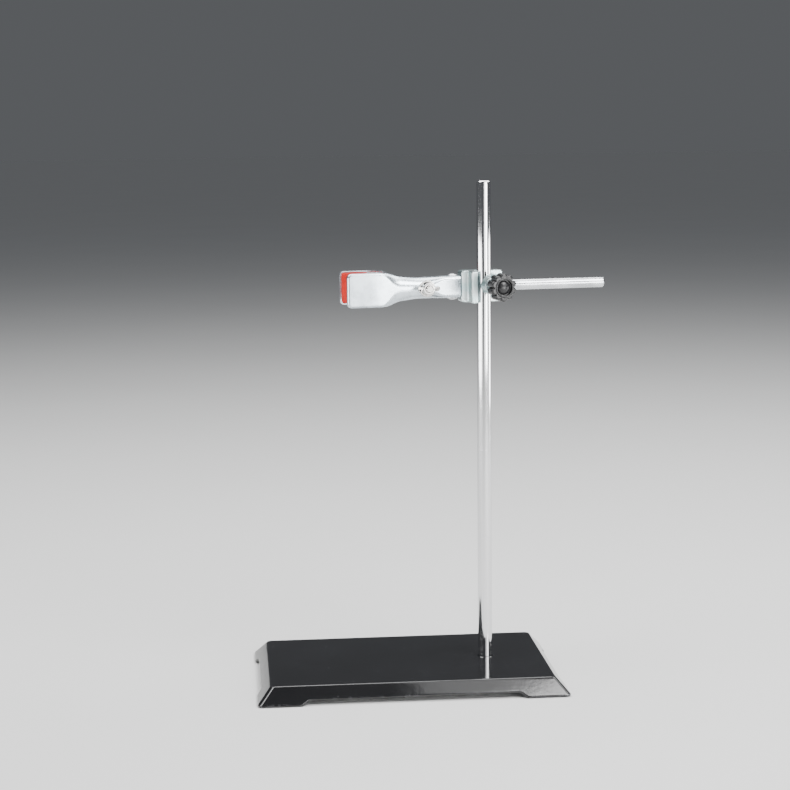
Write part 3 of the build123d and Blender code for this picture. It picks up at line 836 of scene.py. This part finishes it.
def make_knob(name, node, axes, sizes):
    """A moulded knob turned from one profile: collar, lobed rim, raised ring, recess and dome. On the rim the
    radius is the further of the core and of the circle of the nearest lobe, as seen from the knob's axis."""
    low, high = axes.box(node)
    rim_radius = (high[1] - low[1]) / 2
    back, front = low[2], high[2]
    collar, body_start, face, bore_end = 5.0 * MM, back + 2.0 * MM, front - sizes.ring_wall, back + 7.2 * MM
    bore = ROD_SCREW.box("rod_screw")[1][1] + 0.05 * MM
    ring, dome = sizes.ring, sizes.dome
    inside_ring = ring - sizes.ring_wall
    floor = front - sizes.recess
    body = rounded(
        (
            (0, bore_end), (bore, bore_end), (bore, back), (collar, back), (collar, body_start),
            (rim_radius, body_start), (rim_radius, face), (ring, face), (ring, front), (inside_ring, front),
            (inside_ring, floor), (dome, floor),
        ),
        np.array((0.2, 0.3, 0.6, 0.5, 1.1, 1.5, 0.4, 0.38, 0.38, 0.3)) * MM,
    )
    cap = dome_rows(dome, sizes.recess, front, side=-1, steps=14)[::-1][1:]
    profile = finely(np.concatenate((body, cap)), 1.2 * MM)
    pitch_radius = rim_radius - sizes.lobe
    core = rim_radius - 0.85 * sizes.lobe
    soft = 0.25 * MM

    def shape(theta, radius, height):
        nearest = (theta * sizes.lobes / TURN + 0.5) % 1.0 - 0.5
        swing = nearest * TURN / sizes.lobes
        inside = np.clip(sizes.lobe**2 - (pitch_radius * np.sin(swing)) ** 2, 0, None)
        lobe = np.where(inside > 0, pitch_radius * np.cos(swing) + np.sqrt(inside), 0)
        rim = np.maximum(lobe, core) + 0.3 * soft * np.exp(-np.abs(lobe - core) / soft)
        mixed = smoothstep(ring, ring + 1.4 * MM, radius)
        return radius * (1 + mixed * (rim / rim_radius - 1))

    worn = smoothstep(ring, rim_radius, profile[:, 0]) + 0.7 * smoothstep(face, front, profile[:, 1])
    return lathe(name, axes, profile, around=240, shape=shape, wear=np.clip(worn, 0, 1))


def make_arm():
    """The arm: a turned bar with both ends rounded over."""
    low, high = ARM.box("clamp_arm")
    radius = high[1]
    start, end, chamfer = low[2], high[2], 0.7 * MM
    corners = (
        (0, start), (radius - chamfer, start), (radius, start + chamfer), (radius, (start + end) / 2),
        (radius, end - chamfer), (radius - chamfer, end), (0, end),
    )
    profile = rounded(corners, np.array((0.4, 0.5, 0, 0.5, 0.4)) * MM, steps=5)
    worn = smoothstep(end - 1.5 * MM, end, profile[:, 1])
    return lathe("zinc_arm", ARM, profile, around=80, wear=worn)


def make_ferrule():
    """The ferrule: a block bored for the arm, whose outer radius is that of a rectangle with soft corners."""
    low, high = ARM.box("arm_ferrule")
    up, across = high[0], high[1]
    bore = ARM.box("clamp_arm")[1][1] + 0.05 * MM
    start, end = low[2], high[2]
    face, shoulder = up * 0.93, up * 0.98
    soft, roll, lead_in = 0.5 * MM, 0.15 * MM, 0.3 * MM
    profile = np.array((
        (bore + lead_in, start), (face, start), (shoulder, start + roll), (up, start + soft),
        (up, end - soft), (shoulder, end - roll), (face, end), (bore + lead_in, end),
        (bore, end - lead_in), (bore, start + lead_in),
    ))

    def shape(theta, radius, height):
        block = box_radius(theta, up, across, power=14)
        return np.where(radius > bore + lead_in + 0.1 * MM, radius / up * block, radius)

    return lathe("arm_ferrule_block", ARM, profile, around=120, shape=shape, closed=True, crease=30)


# Places along a pressed jaw, as lengths from the rod's axis along the arm, and its half height and the
# web's distance from the arm's axis at the pivot
TRAY_END = -75.6 * MM
NECK_START, NECK_END = -45 * MM, -73 * MM
TRAY_BEND_END, CHANNEL_BEND_START = -74 * MM, -58 * MM
CHANNEL_BEND_END, PIVOT_BEND_START = -40 * MM, -26 * MM
NECK_HALF, PIVOT_WEB = 7.5 * MM, 7.0 * MM
FLANGE_PLACES = np.array((-98, -77, -64, -50, -38, -29, -24, -17.5, -15.2)) * MM
FLANGE_EDGES = np.array((13.2, 13.2, 10.0, 6.5, 3.0, -2.5, -4.2, -4.2, -1.5)) * MM
JAW_CREASE = 32.0


def make_jaw(name, node, side, slotted, sizes):
    """A pressed jaw as one closed skin. A path runs from the tail round the tip and back to the tail. From
    each place on it a section runs from the spine along the web, round the bend and out along the flange to
    its free edge, and the same section set in by the sheet returns inside. The bend's radius grows from the
    tray's tight bend to the channel's wide one, and tightens again at the pivot."""
    low, high = CLAMP.box(node)
    axis_v = float((ARM.origin - CLAMP.origin) @ CLAMP.basis[1])
    tip, tail = low[0], high[0]
    tray_half = high[2]
    sheet = sizes.sheet
    pivot_u = float((PIVOT.origin - CLAMP.origin) @ CLAMP.basis[0])
    if side < 0:
        pad_web, neck_half, pivot_bend = axis_v - low[1], NECK_HALF, 0.33
    else:
        # The rear jaw is narrower, so that its flanges run inside the front jaw's
        pad_web, neck_half, pivot_bend = high[1] - axis_v, NECK_HALF - sheet - 0.3 * MM, 0.40
    slope = (pad_web - PIVOT_WEB) / (pivot_u - TRAY_END)

    def half_height(u):
        """From the tray's half height down to the neck's."""
        return neck_half + (tray_half - neck_half) * smoothstep(NECK_START, NECK_END, u)

    def web(u):
        """The lower of the tray's flat web and the channel's sloping one, blended over about 1 mm."""
        soft = 0.5 * MM
        gap = (PIVOT_WEB + slope * (pivot_u - u) - pad_web) / soft
        return pad_web - soft * np.logaddexp(0, -gap)

    def flange_edge(u):
        """Straight runs between the edge's corners, averaged over 5 mm to round them."""
        shifts = np.linspace(-2.5, 2.5, 7) * MM
        return sum(np.interp(u + shift, FLANGE_PLACES, FLANGE_EDGES) for shift in shifts) / len(shifts)

    def bend(u):
        """The bend's radius: tight at the tray, wide along the channel, tight at the pivot."""
        widened = smoothstep(TRAY_BEND_END, CHANNEL_BEND_START, u)
        near_pivot = smoothstep(CHANNEL_BEND_END, PIVOT_BEND_START, u)
        wide = sizes.channel_bend * half_height(u)
        grown = sizes.pad_bend + (wide - sizes.pad_bend) * widened
        return grown + (pivot_bend * neck_half - grown) * near_pivot

    # The path seen from the front: along the top to the tip, round its corners, and back along the bottom
    corner = sizes.corner
    run = np.linspace(tail, tip + corner, 110)
    top = np.column_stack((run, half_height(run)))
    turn = np.linspace(0, TURN / 4, 12)[1:]
    upper_corner = np.column_stack(
        (tip + corner - corner * np.sin(turn), tray_half - corner + corner * np.cos(turn))
    )
    edge = np.linspace(tray_half - corner, 0, 14)[1:]
    upper = np.concatenate((top, upper_corner, np.column_stack((np.full(len(edge), tip), edge))))
    path = np.concatenate((upper, upper[-2::-1] * (1, -1)))
    along = np.gradient(path, axis=0)
    along[0], along[-1] = (-1, 0), (1, 0)
    along /= np.linalg.norm(along, axis=1, keepdims=True)
    outward = np.column_stack((along[:, 1], -along[:, 0]))
    spine = np.column_stack((np.maximum(path[:, 0], tip + 0.75 * tray_half), np.zeros(len(path))))
    flat_steps, arc_steps, straight_steps = 16, 12, 7

    def section(sunk):
        """Points of the skin set in by sunk, one row for each place on the path. A point is its place along
        the arm, its height, and its distance out from the arm's axis."""
        radius = np.maximum(bend(path[:, 0]) - sunk, 0.35 * MM)[:, None]
        rim = (path - outward * sunk)[:, None, :]
        normal = outward[:, None, :]
        floor = rim - normal * radius[..., None]
        share = np.linspace(0, 1, flat_steps)[None, :, None]
        flat = spine[:, None, :] + (floor - spine[:, None, :]) * share
        flat_w = web(flat[..., 0]) - sunk
        edge_w = flange_edge(path[:, 0])[:, None]
        web_w = web(rim[..., 0]) - sunk
        last = np.arccos(np.clip((edge_w - web_w + radius) / radius, 0, 1))
        angle = last * np.linspace(0, 1, arc_steps)[None, 1:]
        arc = rim - normal * (radius * (1 - np.sin(angle)))[..., None]
        arc_w = web(arc[..., 0]) - sunk - radius * (1 - np.cos(angle))
        share = np.linspace(0, 1, straight_steps)[None, 1:]
        start_w = web_w - radius * (1 - np.cos(last))
        straight_w = start_w + (np.minimum(edge_w, start_w) - start_w) * share
        straight = np.broadcast_to(arc[:, -1:, :], (*straight_w.shape, 2))
        plan = np.concatenate((flat, arc, straight), 1)
        depth = np.concatenate((flat_w, arc_w, straight_w), 1)
        return np.concatenate((plan, depth[..., None]), -1)

    outer, inner = section(0.0), section(sheet)
    lip = (outer[:, -1:] + inner[:, -1:]) / 2
    lip[..., 2] = np.minimum(outer[:, -1:, 2], inner[:, -1:, 2]) - 0.15 * MM
    skin = np.concatenate((outer, lip, inner[:, ::-1]), 1)
    rows, columns = skin.shape[:2]
    points = np.stack((skin[..., 0], axis_v + side * skin[..., 2], skin[..., 1]), -1)
    faces = [grid_faces(rows, columns)]
    # The tail's cut edge: quads between the outer and the inner skin of the first and last rows
    count = outer.shape[1]
    column = np.arange(count)
    for row in (0, rows - 1):
        first = row * columns
        a, b = first + column[:-1], first + column[1:]
        c, d = first + columns - 1 - column[1:], first + columns - 1 - column[:-1]
        strip = np.stack((a, b, c, d), -1)
        faces.append(strip[:, ::-1] if row == 0 else strip)
    # Marks for the plate's lighter rims: a painted highlight along the flanges' free edges and, more faintly,
    # round the bends, together with rubbed plate.
    worn = np.zeros((rows, columns))
    worn[:, count - 2:count + 3] = 1.0
    worn[:, flat_steps:flat_steps + arc_steps - 2] = 0.35
    piece = make_piece(name, CLAMP.world(points), np.concatenate(faces), JAW_CREASE, worn)
    if slotted:
        cut_slot(piece, side, axis_v)
    return piece


def cut_slot(piece, side, axis_v):
    """Cuts the slot in which the bolt stands as the jaw swings: a stadium, two half circles and their
    sides, whose middle lies a little nearer to the pivot than the bolt does."""
    bolt_u = float((BOLT.origin - CLAMP.origin) @ CLAMP.basis[0])
    radius, half_run, offset = 2.8 * MM, 1.4 * MM, 1.2 * MM
    theta = np.linspace(0, TURN, 48, endpoint=False)
    u = bolt_u + offset + half_run * np.sign(np.cos(theta)) + radius * np.cos(theta)
    z = radius * np.sin(theta)
    depths = 2 * MM, 22 * MM
    ends = (np.full_like(u, u.mean()), np.zeros_like(z))
    rows = [(*ends, depths[0]), (u, z, depths[0]), (u, z, depths[1]), (*ends, depths[1])]
    points = np.stack([np.column_stack((a, np.full_like(a, axis_v + side * d), b)) for a, b, d in rows])
    cutter = make_piece("slot_cutter", CLAMP.world(points), grid_faces(4, len(theta), closed_columns=True))
    cut = piece.modifiers.new("slot", "BOOLEAN")
    cut.object, cut.operation, cut.solver = cutter, "DIFFERENCE", "EXACT"
    apply_modifiers(piece)
    bpy.data.objects.remove(cutter)
    shade(piece, JAW_CREASE)


def make_pad(name, node):
    """A rubber pad: scaled copies of a rounded rectangle, from the middle of one face over the softened edge
    to the middle of the other."""
    low, high = CLAMP.box(node)
    middle, half = (low + high) / 2, (high - low) / 2
    around = 160
    theta = np.linspace(0, TURN, around, endpoint=False)[None, :]
    reach = box_radius(theta, half[0], half[2], power=16)
    soft = 0.55 * MM
    face = [(share, -soft * share, half[1]) for share in np.linspace(0, 1, 12)]
    rim = [
        (1.0, -soft * (1 - math.sin(angle)), half[1] - soft * (1 - math.cos(angle)))
        for angle in np.linspace(0, TURN / 4, 7)
    ]
    rows = np.array(face[:-1] + rim)
    rows = np.concatenate((rows, (rows * (1, 1, -1))[::-1]))
    radius = rows[:, :1] * reach + rows[:, 1:2]
    depth = rows[:, 2:] + 0 * theta
    points = middle + np.stack((radius * np.cos(theta), depth, radius * np.sin(theta)), -1)
    return make_piece(name, CLAMP.world(points), grid_faces(len(rows), around, closed_columns=True))


def make_rivet(name, node, side):
    """A round-headed rivet turned from a shank and a domed head."""
    low, high = PIVOT.box(node)
    inner, outer = (low[2], high[2]) if side > 0 else (-high[2], -low[2])
    shank, head, seat, edge, roll = 2.0 * MM, high[0], 7.6 * MM, 0.3 * MM, 0.15 * MM
    dome = dome_rows(head, outer - seat - edge, outer, side=-1, steps=14)[::-1]
    body = np.array(((0, inner), (shank, inner), (shank, seat), (head - roll, seat), (head, seat + roll)))
    profile = np.concatenate((body, dome))
    profile[:, 1] *= side
    return lathe(name, PIVOT, profile, around=64)


def make_bolt(threads):
    """The bolt: a shank threaded at its front, and a domed head behind the rear jaw."""
    low, high = BOLT.box("clamp_bolt")
    start, end = low[2], high[2]
    head, shank = high[0], 2.5 * MM
    rise, seat = 1.9 * MM, start + 2.6 * MM
    chamfer, threaded = 0.6 * MM, 14 * MM
    pitch = threads.bolt_pitch
    dome = dome_rows(head, rise, start, side=1, steps=12)
    corners = (
        (head, start + rise), (head, seat), (shank, seat), (shank, end - chamfer), (shank - chamfer, end),
        (0, end),
    )
    body = rounded(corners, (0.2 * MM,) * 4, steps=3)
    profile = finely(np.concatenate((dome[:-1], body)), pitch / 10)

    def shape(theta, distance, height):
        fade = smoothstep(end - threaded, end - threaded + MM, height)
        cut = threads.depth * pitch * (1 - thread_ridge(theta, height, pitch)) * fade
        narrow = (distance > shank * 0.5) & (distance < shank * 1.02)
        return np.where(narrow, np.minimum(distance, shank - cut), distance)

    return lathe("drawing_bolt", BOLT, profile, around=64, shape=shape)


def make_spring():
    """The spring, its foot and its free length. The spring is a helix of round wire whose first and last
    coils lie nearly flat. Each section is a circle in the plane of the radius and of the helix's binormal,
    and both ends close to a point."""
    low, high = BOLT.box("jaw_spring")
    wire = 0.45 * MM
    radius = high[0] - wire
    start, end = low[2] + 2 * wire, high[2] - 2 * wire
    coils, steps, around = 6.5, 520, 14
    share = np.linspace(0, 1, steps)
    phi = TURN * coils * share
    flat_coil = 1.0 / coils
    climb = np.interp(share, (0, flat_coil, 1 - flat_coil, 1), (0, 0.07, 0.93, 1))
    climb = np.convolve(np.pad(climb, 12, "edge"), np.ones(25) / 25, "valid")
    height = start + (end - start) * climb
    centre = np.column_stack((radius * np.cos(phi), radius * np.sin(phi), height))
    tangent = np.gradient(centre, axis=0)
    tangent /= np.linalg.norm(tangent, axis=1, keepdims=True)
    inward = np.column_stack((-np.cos(phi), -np.sin(phi), np.zeros(steps)))
    binormal = np.cross(tangent, inward)
    psi = np.linspace(0, TURN, around, endpoint=False)
    across, beside = np.cos(psi)[None, :, None], np.sin(psi)[None, :, None]
    section = wire * (across * inward[:, None] + beside * binormal[:, None])
    section[[0, -1]] = 0
    points = centre[:, None] + section
    piece = make_piece("coil_spring", BOLT.world(points), grid_faces(steps, around, closed_columns=True))
    foot = BOLT.world(np.array(((0, 0, low[2]),)))[0]
    return piece, foot, high[2] - low[2]


def make_washer():
    """A stamped washer: a flat ring with a rolled-over upper edge and a sharp lower one."""
    low, high = BOLT.box("wing_washer")
    outer, bore = high[0] + 0.8 * MM, 2.6 * MM
    under, top = low[2], high[2]
    start = (bore, (under + top) / 2)
    corners = (start, (bore, under), (outer, under), (outer, top), (bore, top), start)
    ring = rounded(corners, np.array((0.08, 0.08, 0.35, 0.15)) * MM, steps=5)[:-1]
    return lathe("plain_washer", BOLT, ring, around=96, closed=True)


def make_wing_nut():
    """The wing nut: a tapered hub with a plain bore and two ears. An ear is an ellipse carried along a curved
    line that leaves the hub and climbs, swelling to a round tip and twisting as it goes. A fine remesh
    blends them."""
    low, high = BOLT.box("wing_nut")
    base = low[2]
    foot, hub, bore = 5.0 * MM, 5.5 * MM, 2.35 * MM
    narrow = foot - hub * math.tan(math.radians(8))
    corners = ((bore, base), (foot, base), (narrow, base + hub), (bore, base + hub), (bore, base))
    ring = rounded(corners, np.array((0.35, 0.8, 0.35)) * MM, steps=5)[:-1]
    nut = lathe("wing_nut_cast", BOLT, ring, around=96, closed=True)
    span, rise = high[0], high[2] - base
    root, root_height, climb, twist_end = 3.0 * MM, 2.9 * MM, rise - 6.2 * MM, 0.55
    steps, around = 36, 28
    t = np.linspace(0, 1, steps)[:, None]
    psi = np.linspace(0, TURN, around, endpoint=False)[None, :]
    ears = []
    for side in (-1, 1):
        across = root + (span - 0.1 * MM - root) * t
        up = base + root_height + climb * t**1.4
        breadth = (2.3 * MM + 1.2 * MM * smoothstep(0.0, 0.7, t)) * np.sqrt(np.clip(1 - t**5, 0, 1))
        thick = (1.6 * MM - 0.2 * MM * t) * np.sqrt(np.clip(1 - t**6, 0, 1))
        wide, deep = breadth * np.cos(psi), thick * np.sin(psi)
        twist = side * twist_end * smoothstep(0.1, 0.8, t)
        x = side * across + 0 * wide
        y = deep * np.cos(twist) + wide * np.sin(twist)
        z = up + wide * np.cos(twist) - deep * np.sin(twist)
        points = np.stack((x, y, z), -1)
        points[0] = points[0].mean(0)
        points[..., 0] = np.clip(points[..., 0], -span, span)
        points[..., 2] = np.clip(points[..., 2], base + 0.4 * MM, base + rise)
        ears.append(make_piece("ear", BOLT.world(points), grid_faces(steps, around, closed_columns=True)))
    joined = bmesh.new()
    for part in (nut, *ears):
        joined.from_mesh(part.data)
    joined.to_mesh(nut.data)
    joined.free()
    for ear in ears:
        bpy.data.objects.remove(ear)
    return cast_skin(nut, voxel=0.17 * MM, passes=5)


def cast_skin(piece, voxel, passes):
    """Remeshes overlapping closed parts into one skin and softens its corners, as a casting has them."""
    remesh = piece.modifiers.new("skin", "REMESH")
    remesh.mode, remesh.voxel_size, remesh.use_smooth_shade = "VOXEL", voxel, True
    soften = piece.modifiers.new("soften", "SMOOTH")
    soften.factor, soften.iterations = 0.5, passes
    apply_modifiers(piece)
    shade(piece, crease=60)
    return piece


def make_boss():
    """The boss head's casting: a merged copy of its CAD shape with a cast skin."""
    mesh = frame["nodes"]["boss_body"].data.copy()
    piece = bpy.data.objects.new("boss_casting", mesh)
    bpy.context.scene.collection.objects.link(piece)
    work = bmesh.new()
    work.from_mesh(mesh)
    bmesh.ops.remove_doubles(work, verts=work.verts, dist=5e-6)
    work.to_mesh(mesh)
    work.free()
    return cast_skin(piece, voxel=0.3 * MM, passes=6)


# Operators


class RETORT_OT_base(bpy.types.Operator):
    """Makes the enamelled base"""

    bl_idname = "retort.base"
    bl_label = "Base"
    bl_options = {"REGISTER", "UNDO"}

    def execute(self, context):
        stand_for(make_base(context.scene.retort_base), "base_shell", finish("enamel"))
        return {"FINISHED"}


class RETORT_OT_rod(bpy.types.Operator):
    """Makes the upright rod"""

    bl_idname = "retort.rod"
    bl_label = "Rod"
    bl_options = {"REGISTER", "UNDO"}

    def execute(self, context):
        stand_for(make_rod(context.scene.retort_thread), "support_rod", finish("chrome"))
        return {"FINISHED"}


class RETORT_OT_nuts(bpy.types.Operator):
    """Makes the two nuts under the plate"""

    bl_idname = "retort.nuts"
    bl_label = "Nuts under the plate"
    bl_options = {"REGISTER", "UNDO"}

    def execute(self, context):
        for name, node in (("plate_nut", "weld_nut"), ("rod_thin_nut", "rod_lock_nut")):
            stand_for(hex_nut(name, node), node, finish("zinc"))
        return {"FINISHED"}


class RETORT_OT_boss(bpy.types.Operator):
    """Makes the boss head's casting"""

    bl_idname = "retort.boss"
    bl_label = "Boss head"
    bl_options = {"REGISTER", "UNDO"}

    def execute(self, context):
        stand_for(make_boss(), "boss_body", finish("cast"))
        return {"FINISHED"}


class RETORT_OT_screws(bpy.types.Operator):
    """Makes the two clamping screws"""

    bl_idname = "retort.screws"
    bl_label = "Clamping screws"
    bl_options = {"REGISTER", "UNDO"}

    def execute(self, context):
        for name, node, axes in (
            ("rod_grip_screw", "rod_screw", ROD_SCREW),
            ("arm_grip_screw", "arm_screw", ARM_SCREW),
        ):
            stand_for(make_screw(name, node, axes, context.scene.retort_thread), node, finish("zinc"))
        return {"FINISHED"}


class RETORT_OT_knobs(bpy.types.Operator):
    """Makes the two lobed knobs"""

    bl_idname = "retort.knobs"
    bl_label = "Knobs"
    bl_options = {"REGISTER", "UNDO"}

    def execute(self, context):
        for name, node, axes in (
            ("rod_lobed_knob", "rod_knob", ROD_SCREW),
            ("arm_lobed_knob", "arm_knob", ARM_SCREW),
        ):
            stand_for(make_knob(name, node, axes, context.scene.retort_knob), node, finish("plastic"))
        return {"FINISHED"}


class RETORT_OT_arm(bpy.types.Operator):
    """Makes the clamp's arm and the ferrule on its end"""

    bl_idname = "retort.arm"
    bl_label = "Arm and ferrule"
    bl_options = {"REGISTER", "UNDO"}

    def execute(self, context):
        stand_for(make_arm(), "clamp_arm", finish("arm"))
        stand_for(make_ferrule(), "arm_ferrule", finish("zinc"))
        return {"FINISHED"}


class RETORT_OT_jaws(bpy.types.Operator):
    """Makes the two pressed jaws"""

    bl_idname = "retort.jaws"
    bl_label = "Jaws"
    bl_options = {"REGISTER", "UNDO"}

    def execute(self, context):
        for name, node, side, slotted in (
            ("front_pressed_jaw", "front_jaw", -1, True),
            ("rear_pressed_jaw", "rear_jaw", 1, False),
        ):
            stand_for(make_jaw(name, node, side, slotted, context.scene.retort_jaw), node, finish("jaw"))
        return {"FINISHED"}


class RETORT_OT_pads(bpy.types.Operator):
    """Makes the two rubber pads"""

    bl_idname = "retort.pads"
    bl_label = "Pads"
    bl_options = {"REGISTER", "UNDO"}

    def execute(self, context):
        for name, node in (("front_rubber_pad", "front_pad"), ("rear_rubber_pad", "rear_pad")):
            stand_for(make_pad(name, node), node, finish("rubber"))
        return {"FINISHED"}


class RETORT_OT_rivets(bpy.types.Operator):
    """Makes the two rivets of the jaws' pivot"""

    bl_idname = "retort.rivets"
    bl_label = "Pivot rivets"
    bl_options = {"REGISTER", "UNDO"}

    def execute(self, context):
        for name, node, side in (
            ("upper_pivot_rivet", "upper_rivet", 1),
            ("lower_pivot_rivet", "lower_rivet", -1),
        ):
            stand_for(make_rivet(name, node, side), node, finish("zinc"))
        return {"FINISHED"}


class RETORT_OT_bolt(bpy.types.Operator):
    """Makes the bolt, its spring, the washer and the wing nut"""

    bl_idname = "retort.bolt"
    bl_label = "Bolt, spring and wing nut"
    bl_options = {"REGISTER", "UNDO"}

    def execute(self, context):
        threads = context.scene.retort_thread
        stand_for(make_bolt(threads), "clamp_bolt", finish("nickel"))
        stand_for(make_washer(), "wing_washer", finish("nickel"))
        stand_for(make_wing_nut(), "wing_nut", finish("nickel"))
        spring, anchor, free_length = make_spring()
        stand_for(spring, "jaw_spring", finish("wire"))
        swing = math.radians(JOINTS["front_jaw_swing"]["range_deg"][1])
        drawn_in = np.linalg.norm((BOLT.origin - PIVOT.origin)[:2] @ ALONG_ARM[:2]) * math.sin(swing)
        1 - drawn_in / free_length
        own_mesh(spring)
        return {"FINISHED"}


class RETORT_OT_stage(bpy.types.Operator):
    """Makes the floor, the lights and the camera"""

    bl_idname = "retort.stage"
    bl_label = "Stage"
    bl_options = {"REGISTER", "UNDO"}

    def execute(self, context):
        make_floor()
        for name, place, target, size, power in (
            ("key_softbox", (0.88, -0.80, 1.45), (0.05, 0.0, 0.12), (1.0, 0.8), 38),
            ("key_edge", (0.29, -0.77, 1.46), (0.05, 0.0, 0.05), (0.20, 0.8), 1.4),
            ("top_softbox", (-0.10, 0.35, 1.70), (0.0, 0.0, 0.05), (1.6, 1.0), 34),
            ("front_softbox", (0.78, -1.00, 0.28), (-0.03, 0.0, 0.25), (0.55, 0.45), 4.0),
            ("front_fill", (0.30, -1.14, 0.28), (-0.03, 0.0, 0.25), (0.42, 0.45), 0.9),
            ("left_strip", (-1.10, -0.45, 0.15), (0.05, 0.0, 0.15), (1.5, 0.26), 3.6),
            ("right_strip", (1.15, 0.10, 0.15), (0.05, 0.0, 0.15), (0.6, 0.26), 1.6),
            ("left_softbox", (-0.85, -0.25, 1.35), (0.05, 0.0, 0.15), (0.7, 0.7), 12),
            ("right_softbox", (0.95, 0.45, 1.30), (0.05, 0.0, 0.15), (0.6, 0.6), 9),
        ):
            make_softbox(name, place, target, size, power)
        make_world(context.scene)
        make_camera(context.scene)
        return {"FINISHED"}


def make_floor():
    """A large flat disc whose rings widen with the cube of their number."""
    radius, count, around = 40.0, 12, 64
    rings = radius * np.linspace(0, 1, count)[:, None] ** 3
    theta = np.linspace(0, TURN, around, endpoint=False)[None, :]
    points = np.stack((rings * np.cos(theta), rings * np.sin(theta), 0 * rings * theta), -1)
    floor = make_piece("studio_floor", points, grid_faces(count, around, closed_columns=True))
    if floor.data.polygons[0].normal.z < 0:
        floor.data.flip_normals()
    floor.data.materials.append(finish("floor"))


def make_softbox(name, place, target, size, power):
    """A rectangular light that faces its target. A low one is narrowed, so that it doesn't rake the floor."""
    low_height, narrowed, full = 0.5, math.radians(110), math.radians(180)
    light = bpy.data.lights.new(name, "AREA")
    light.spread = narrowed if place[2] < low_height else full
    light.shape, light.size, light.size_y, light.energy = "RECTANGLE", *size, power
    lamp = bpy.data.objects.new(name, light)
    lamp.location = place
    lamp.rotation_mode = "QUATERNION"
    lamp.rotation_quaternion = (Vector(target) - Vector(place)).to_track_quat("-Z", "Y")
    bpy.context.scene.collection.objects.link(lamp)


def make_world(scene):
    """A dim studio, darkest at the horizon so that black enamel stays black, and brighter overhead."""
    world = bpy.data.worlds.new("studio")
    world.use_nodes = True
    tree = world.node_tree
    background = tree.nodes["Background"]
    background.inputs["Color"].default_value = (0.90, 0.94, 1.0, 1)
    way = tree.nodes.new("ShaderNodeTexCoord")
    parts = tree.nodes.new("ShaderNodeSeparateXYZ")
    rise = tree.nodes.new("ShaderNodeMapRange")
    tree.links.new(way.outputs["Generated"], parts.inputs[0])
    tree.links.new(parts.outputs["Z"], rise.inputs["Value"])
    for socket, value in zip(("From Min", "From Max", "To Min", "To Max"), (0.1, 0.9, 0.115, 0.19)):
        rise.inputs[socket].default_value = value
    tree.links.new(rise.outputs[0], background.inputs["Strength"])
    scene.world = world


def make_camera(scene):
    """A long lens in front and to the left, looking down a little."""
    data = bpy.data.cameras.new("camera")
    data.sensor_width = 36.0
    data.lens = 77.5
    data.shift_x, data.shift_y = 0.06, -0.04
    data.clip_start, data.clip_end = 0.05, 50
    camera = bpy.data.objects.new("camera", data)
    camera.location = (-0.120, -1.171, 0.379)
    yaw, pitch, roll = math.radians(3.97), math.radians(7.48), math.radians(-0.81)
    ahead = Vector((math.sin(yaw) * math.cos(pitch), math.cos(yaw) * math.cos(pitch), -math.sin(pitch)))
    camera.rotation_mode = "QUATERNION"
    camera.rotation_quaternion = Quaternion(ahead, -roll) @ ahead.to_track_quat("-Z", "Y")
    scene.collection.objects.link(camera)
    scene.camera = camera


OPERATORS = (
    RETORT_OT_stage, RETORT_OT_base, RETORT_OT_rod, RETORT_OT_nuts, RETORT_OT_boss, RETORT_OT_screws,
    RETORT_OT_knobs, RETORT_OT_arm, RETORT_OT_jaws, RETORT_OT_pads, RETORT_OT_rivets, RETORT_OT_bolt,
)


class RETORT_PT_panel(bpy.types.Panel):
    """Lists the stand's pieces and their settings"""

    bl_label = "Retort Stand"
    bl_idname = "RETORT_PT_panel"
    bl_space_type = "VIEW_3D"
    bl_region_type = "UI"
    bl_category = "Retort Stand"

    def draw(self, context):
        for operator in OPERATORS:
            self.layout.operator(operator.bl_idname)
        for group in SETTINGS:
            box = self.layout.box()
            settings = getattr(context.scene, scene_name(group))
            for name in group.__annotations__:
                box.prop(settings, name)


def scene_name(group):
    """The scene's property that holds a settings group."""
    return "retort_" + group.__name__.replace("Settings", "").lower()


def register():
    """Registers the settings, the operators and the panel."""
    for group in SETTINGS:
        bpy.utils.register_class(group)
        setattr(bpy.types.Scene, scene_name(group), PointerProperty(type=group))
    for operator in OPERATORS:
        bpy.utils.register_class(operator)
    bpy.utils.register_class(RETORT_PT_panel)


def unregister():
    """Takes away what register added."""
    bpy.utils.unregister_class(RETORT_PT_panel)
    for operator in reversed(OPERATORS):
        bpy.utils.unregister_class(operator)
    for group in reversed(SETTINGS):
        delattr(bpy.types.Scene, scene_name(group))
        bpy.utils.unregister_class(group)


def main():
    """Makes the whole stand and its stage."""
    register()
    for operator in OPERATORS:
        family, name = operator.bl_idname.split(".")
        getattr(getattr(bpy.ops, family), name)()


if __name__ == "__main__":
    main()
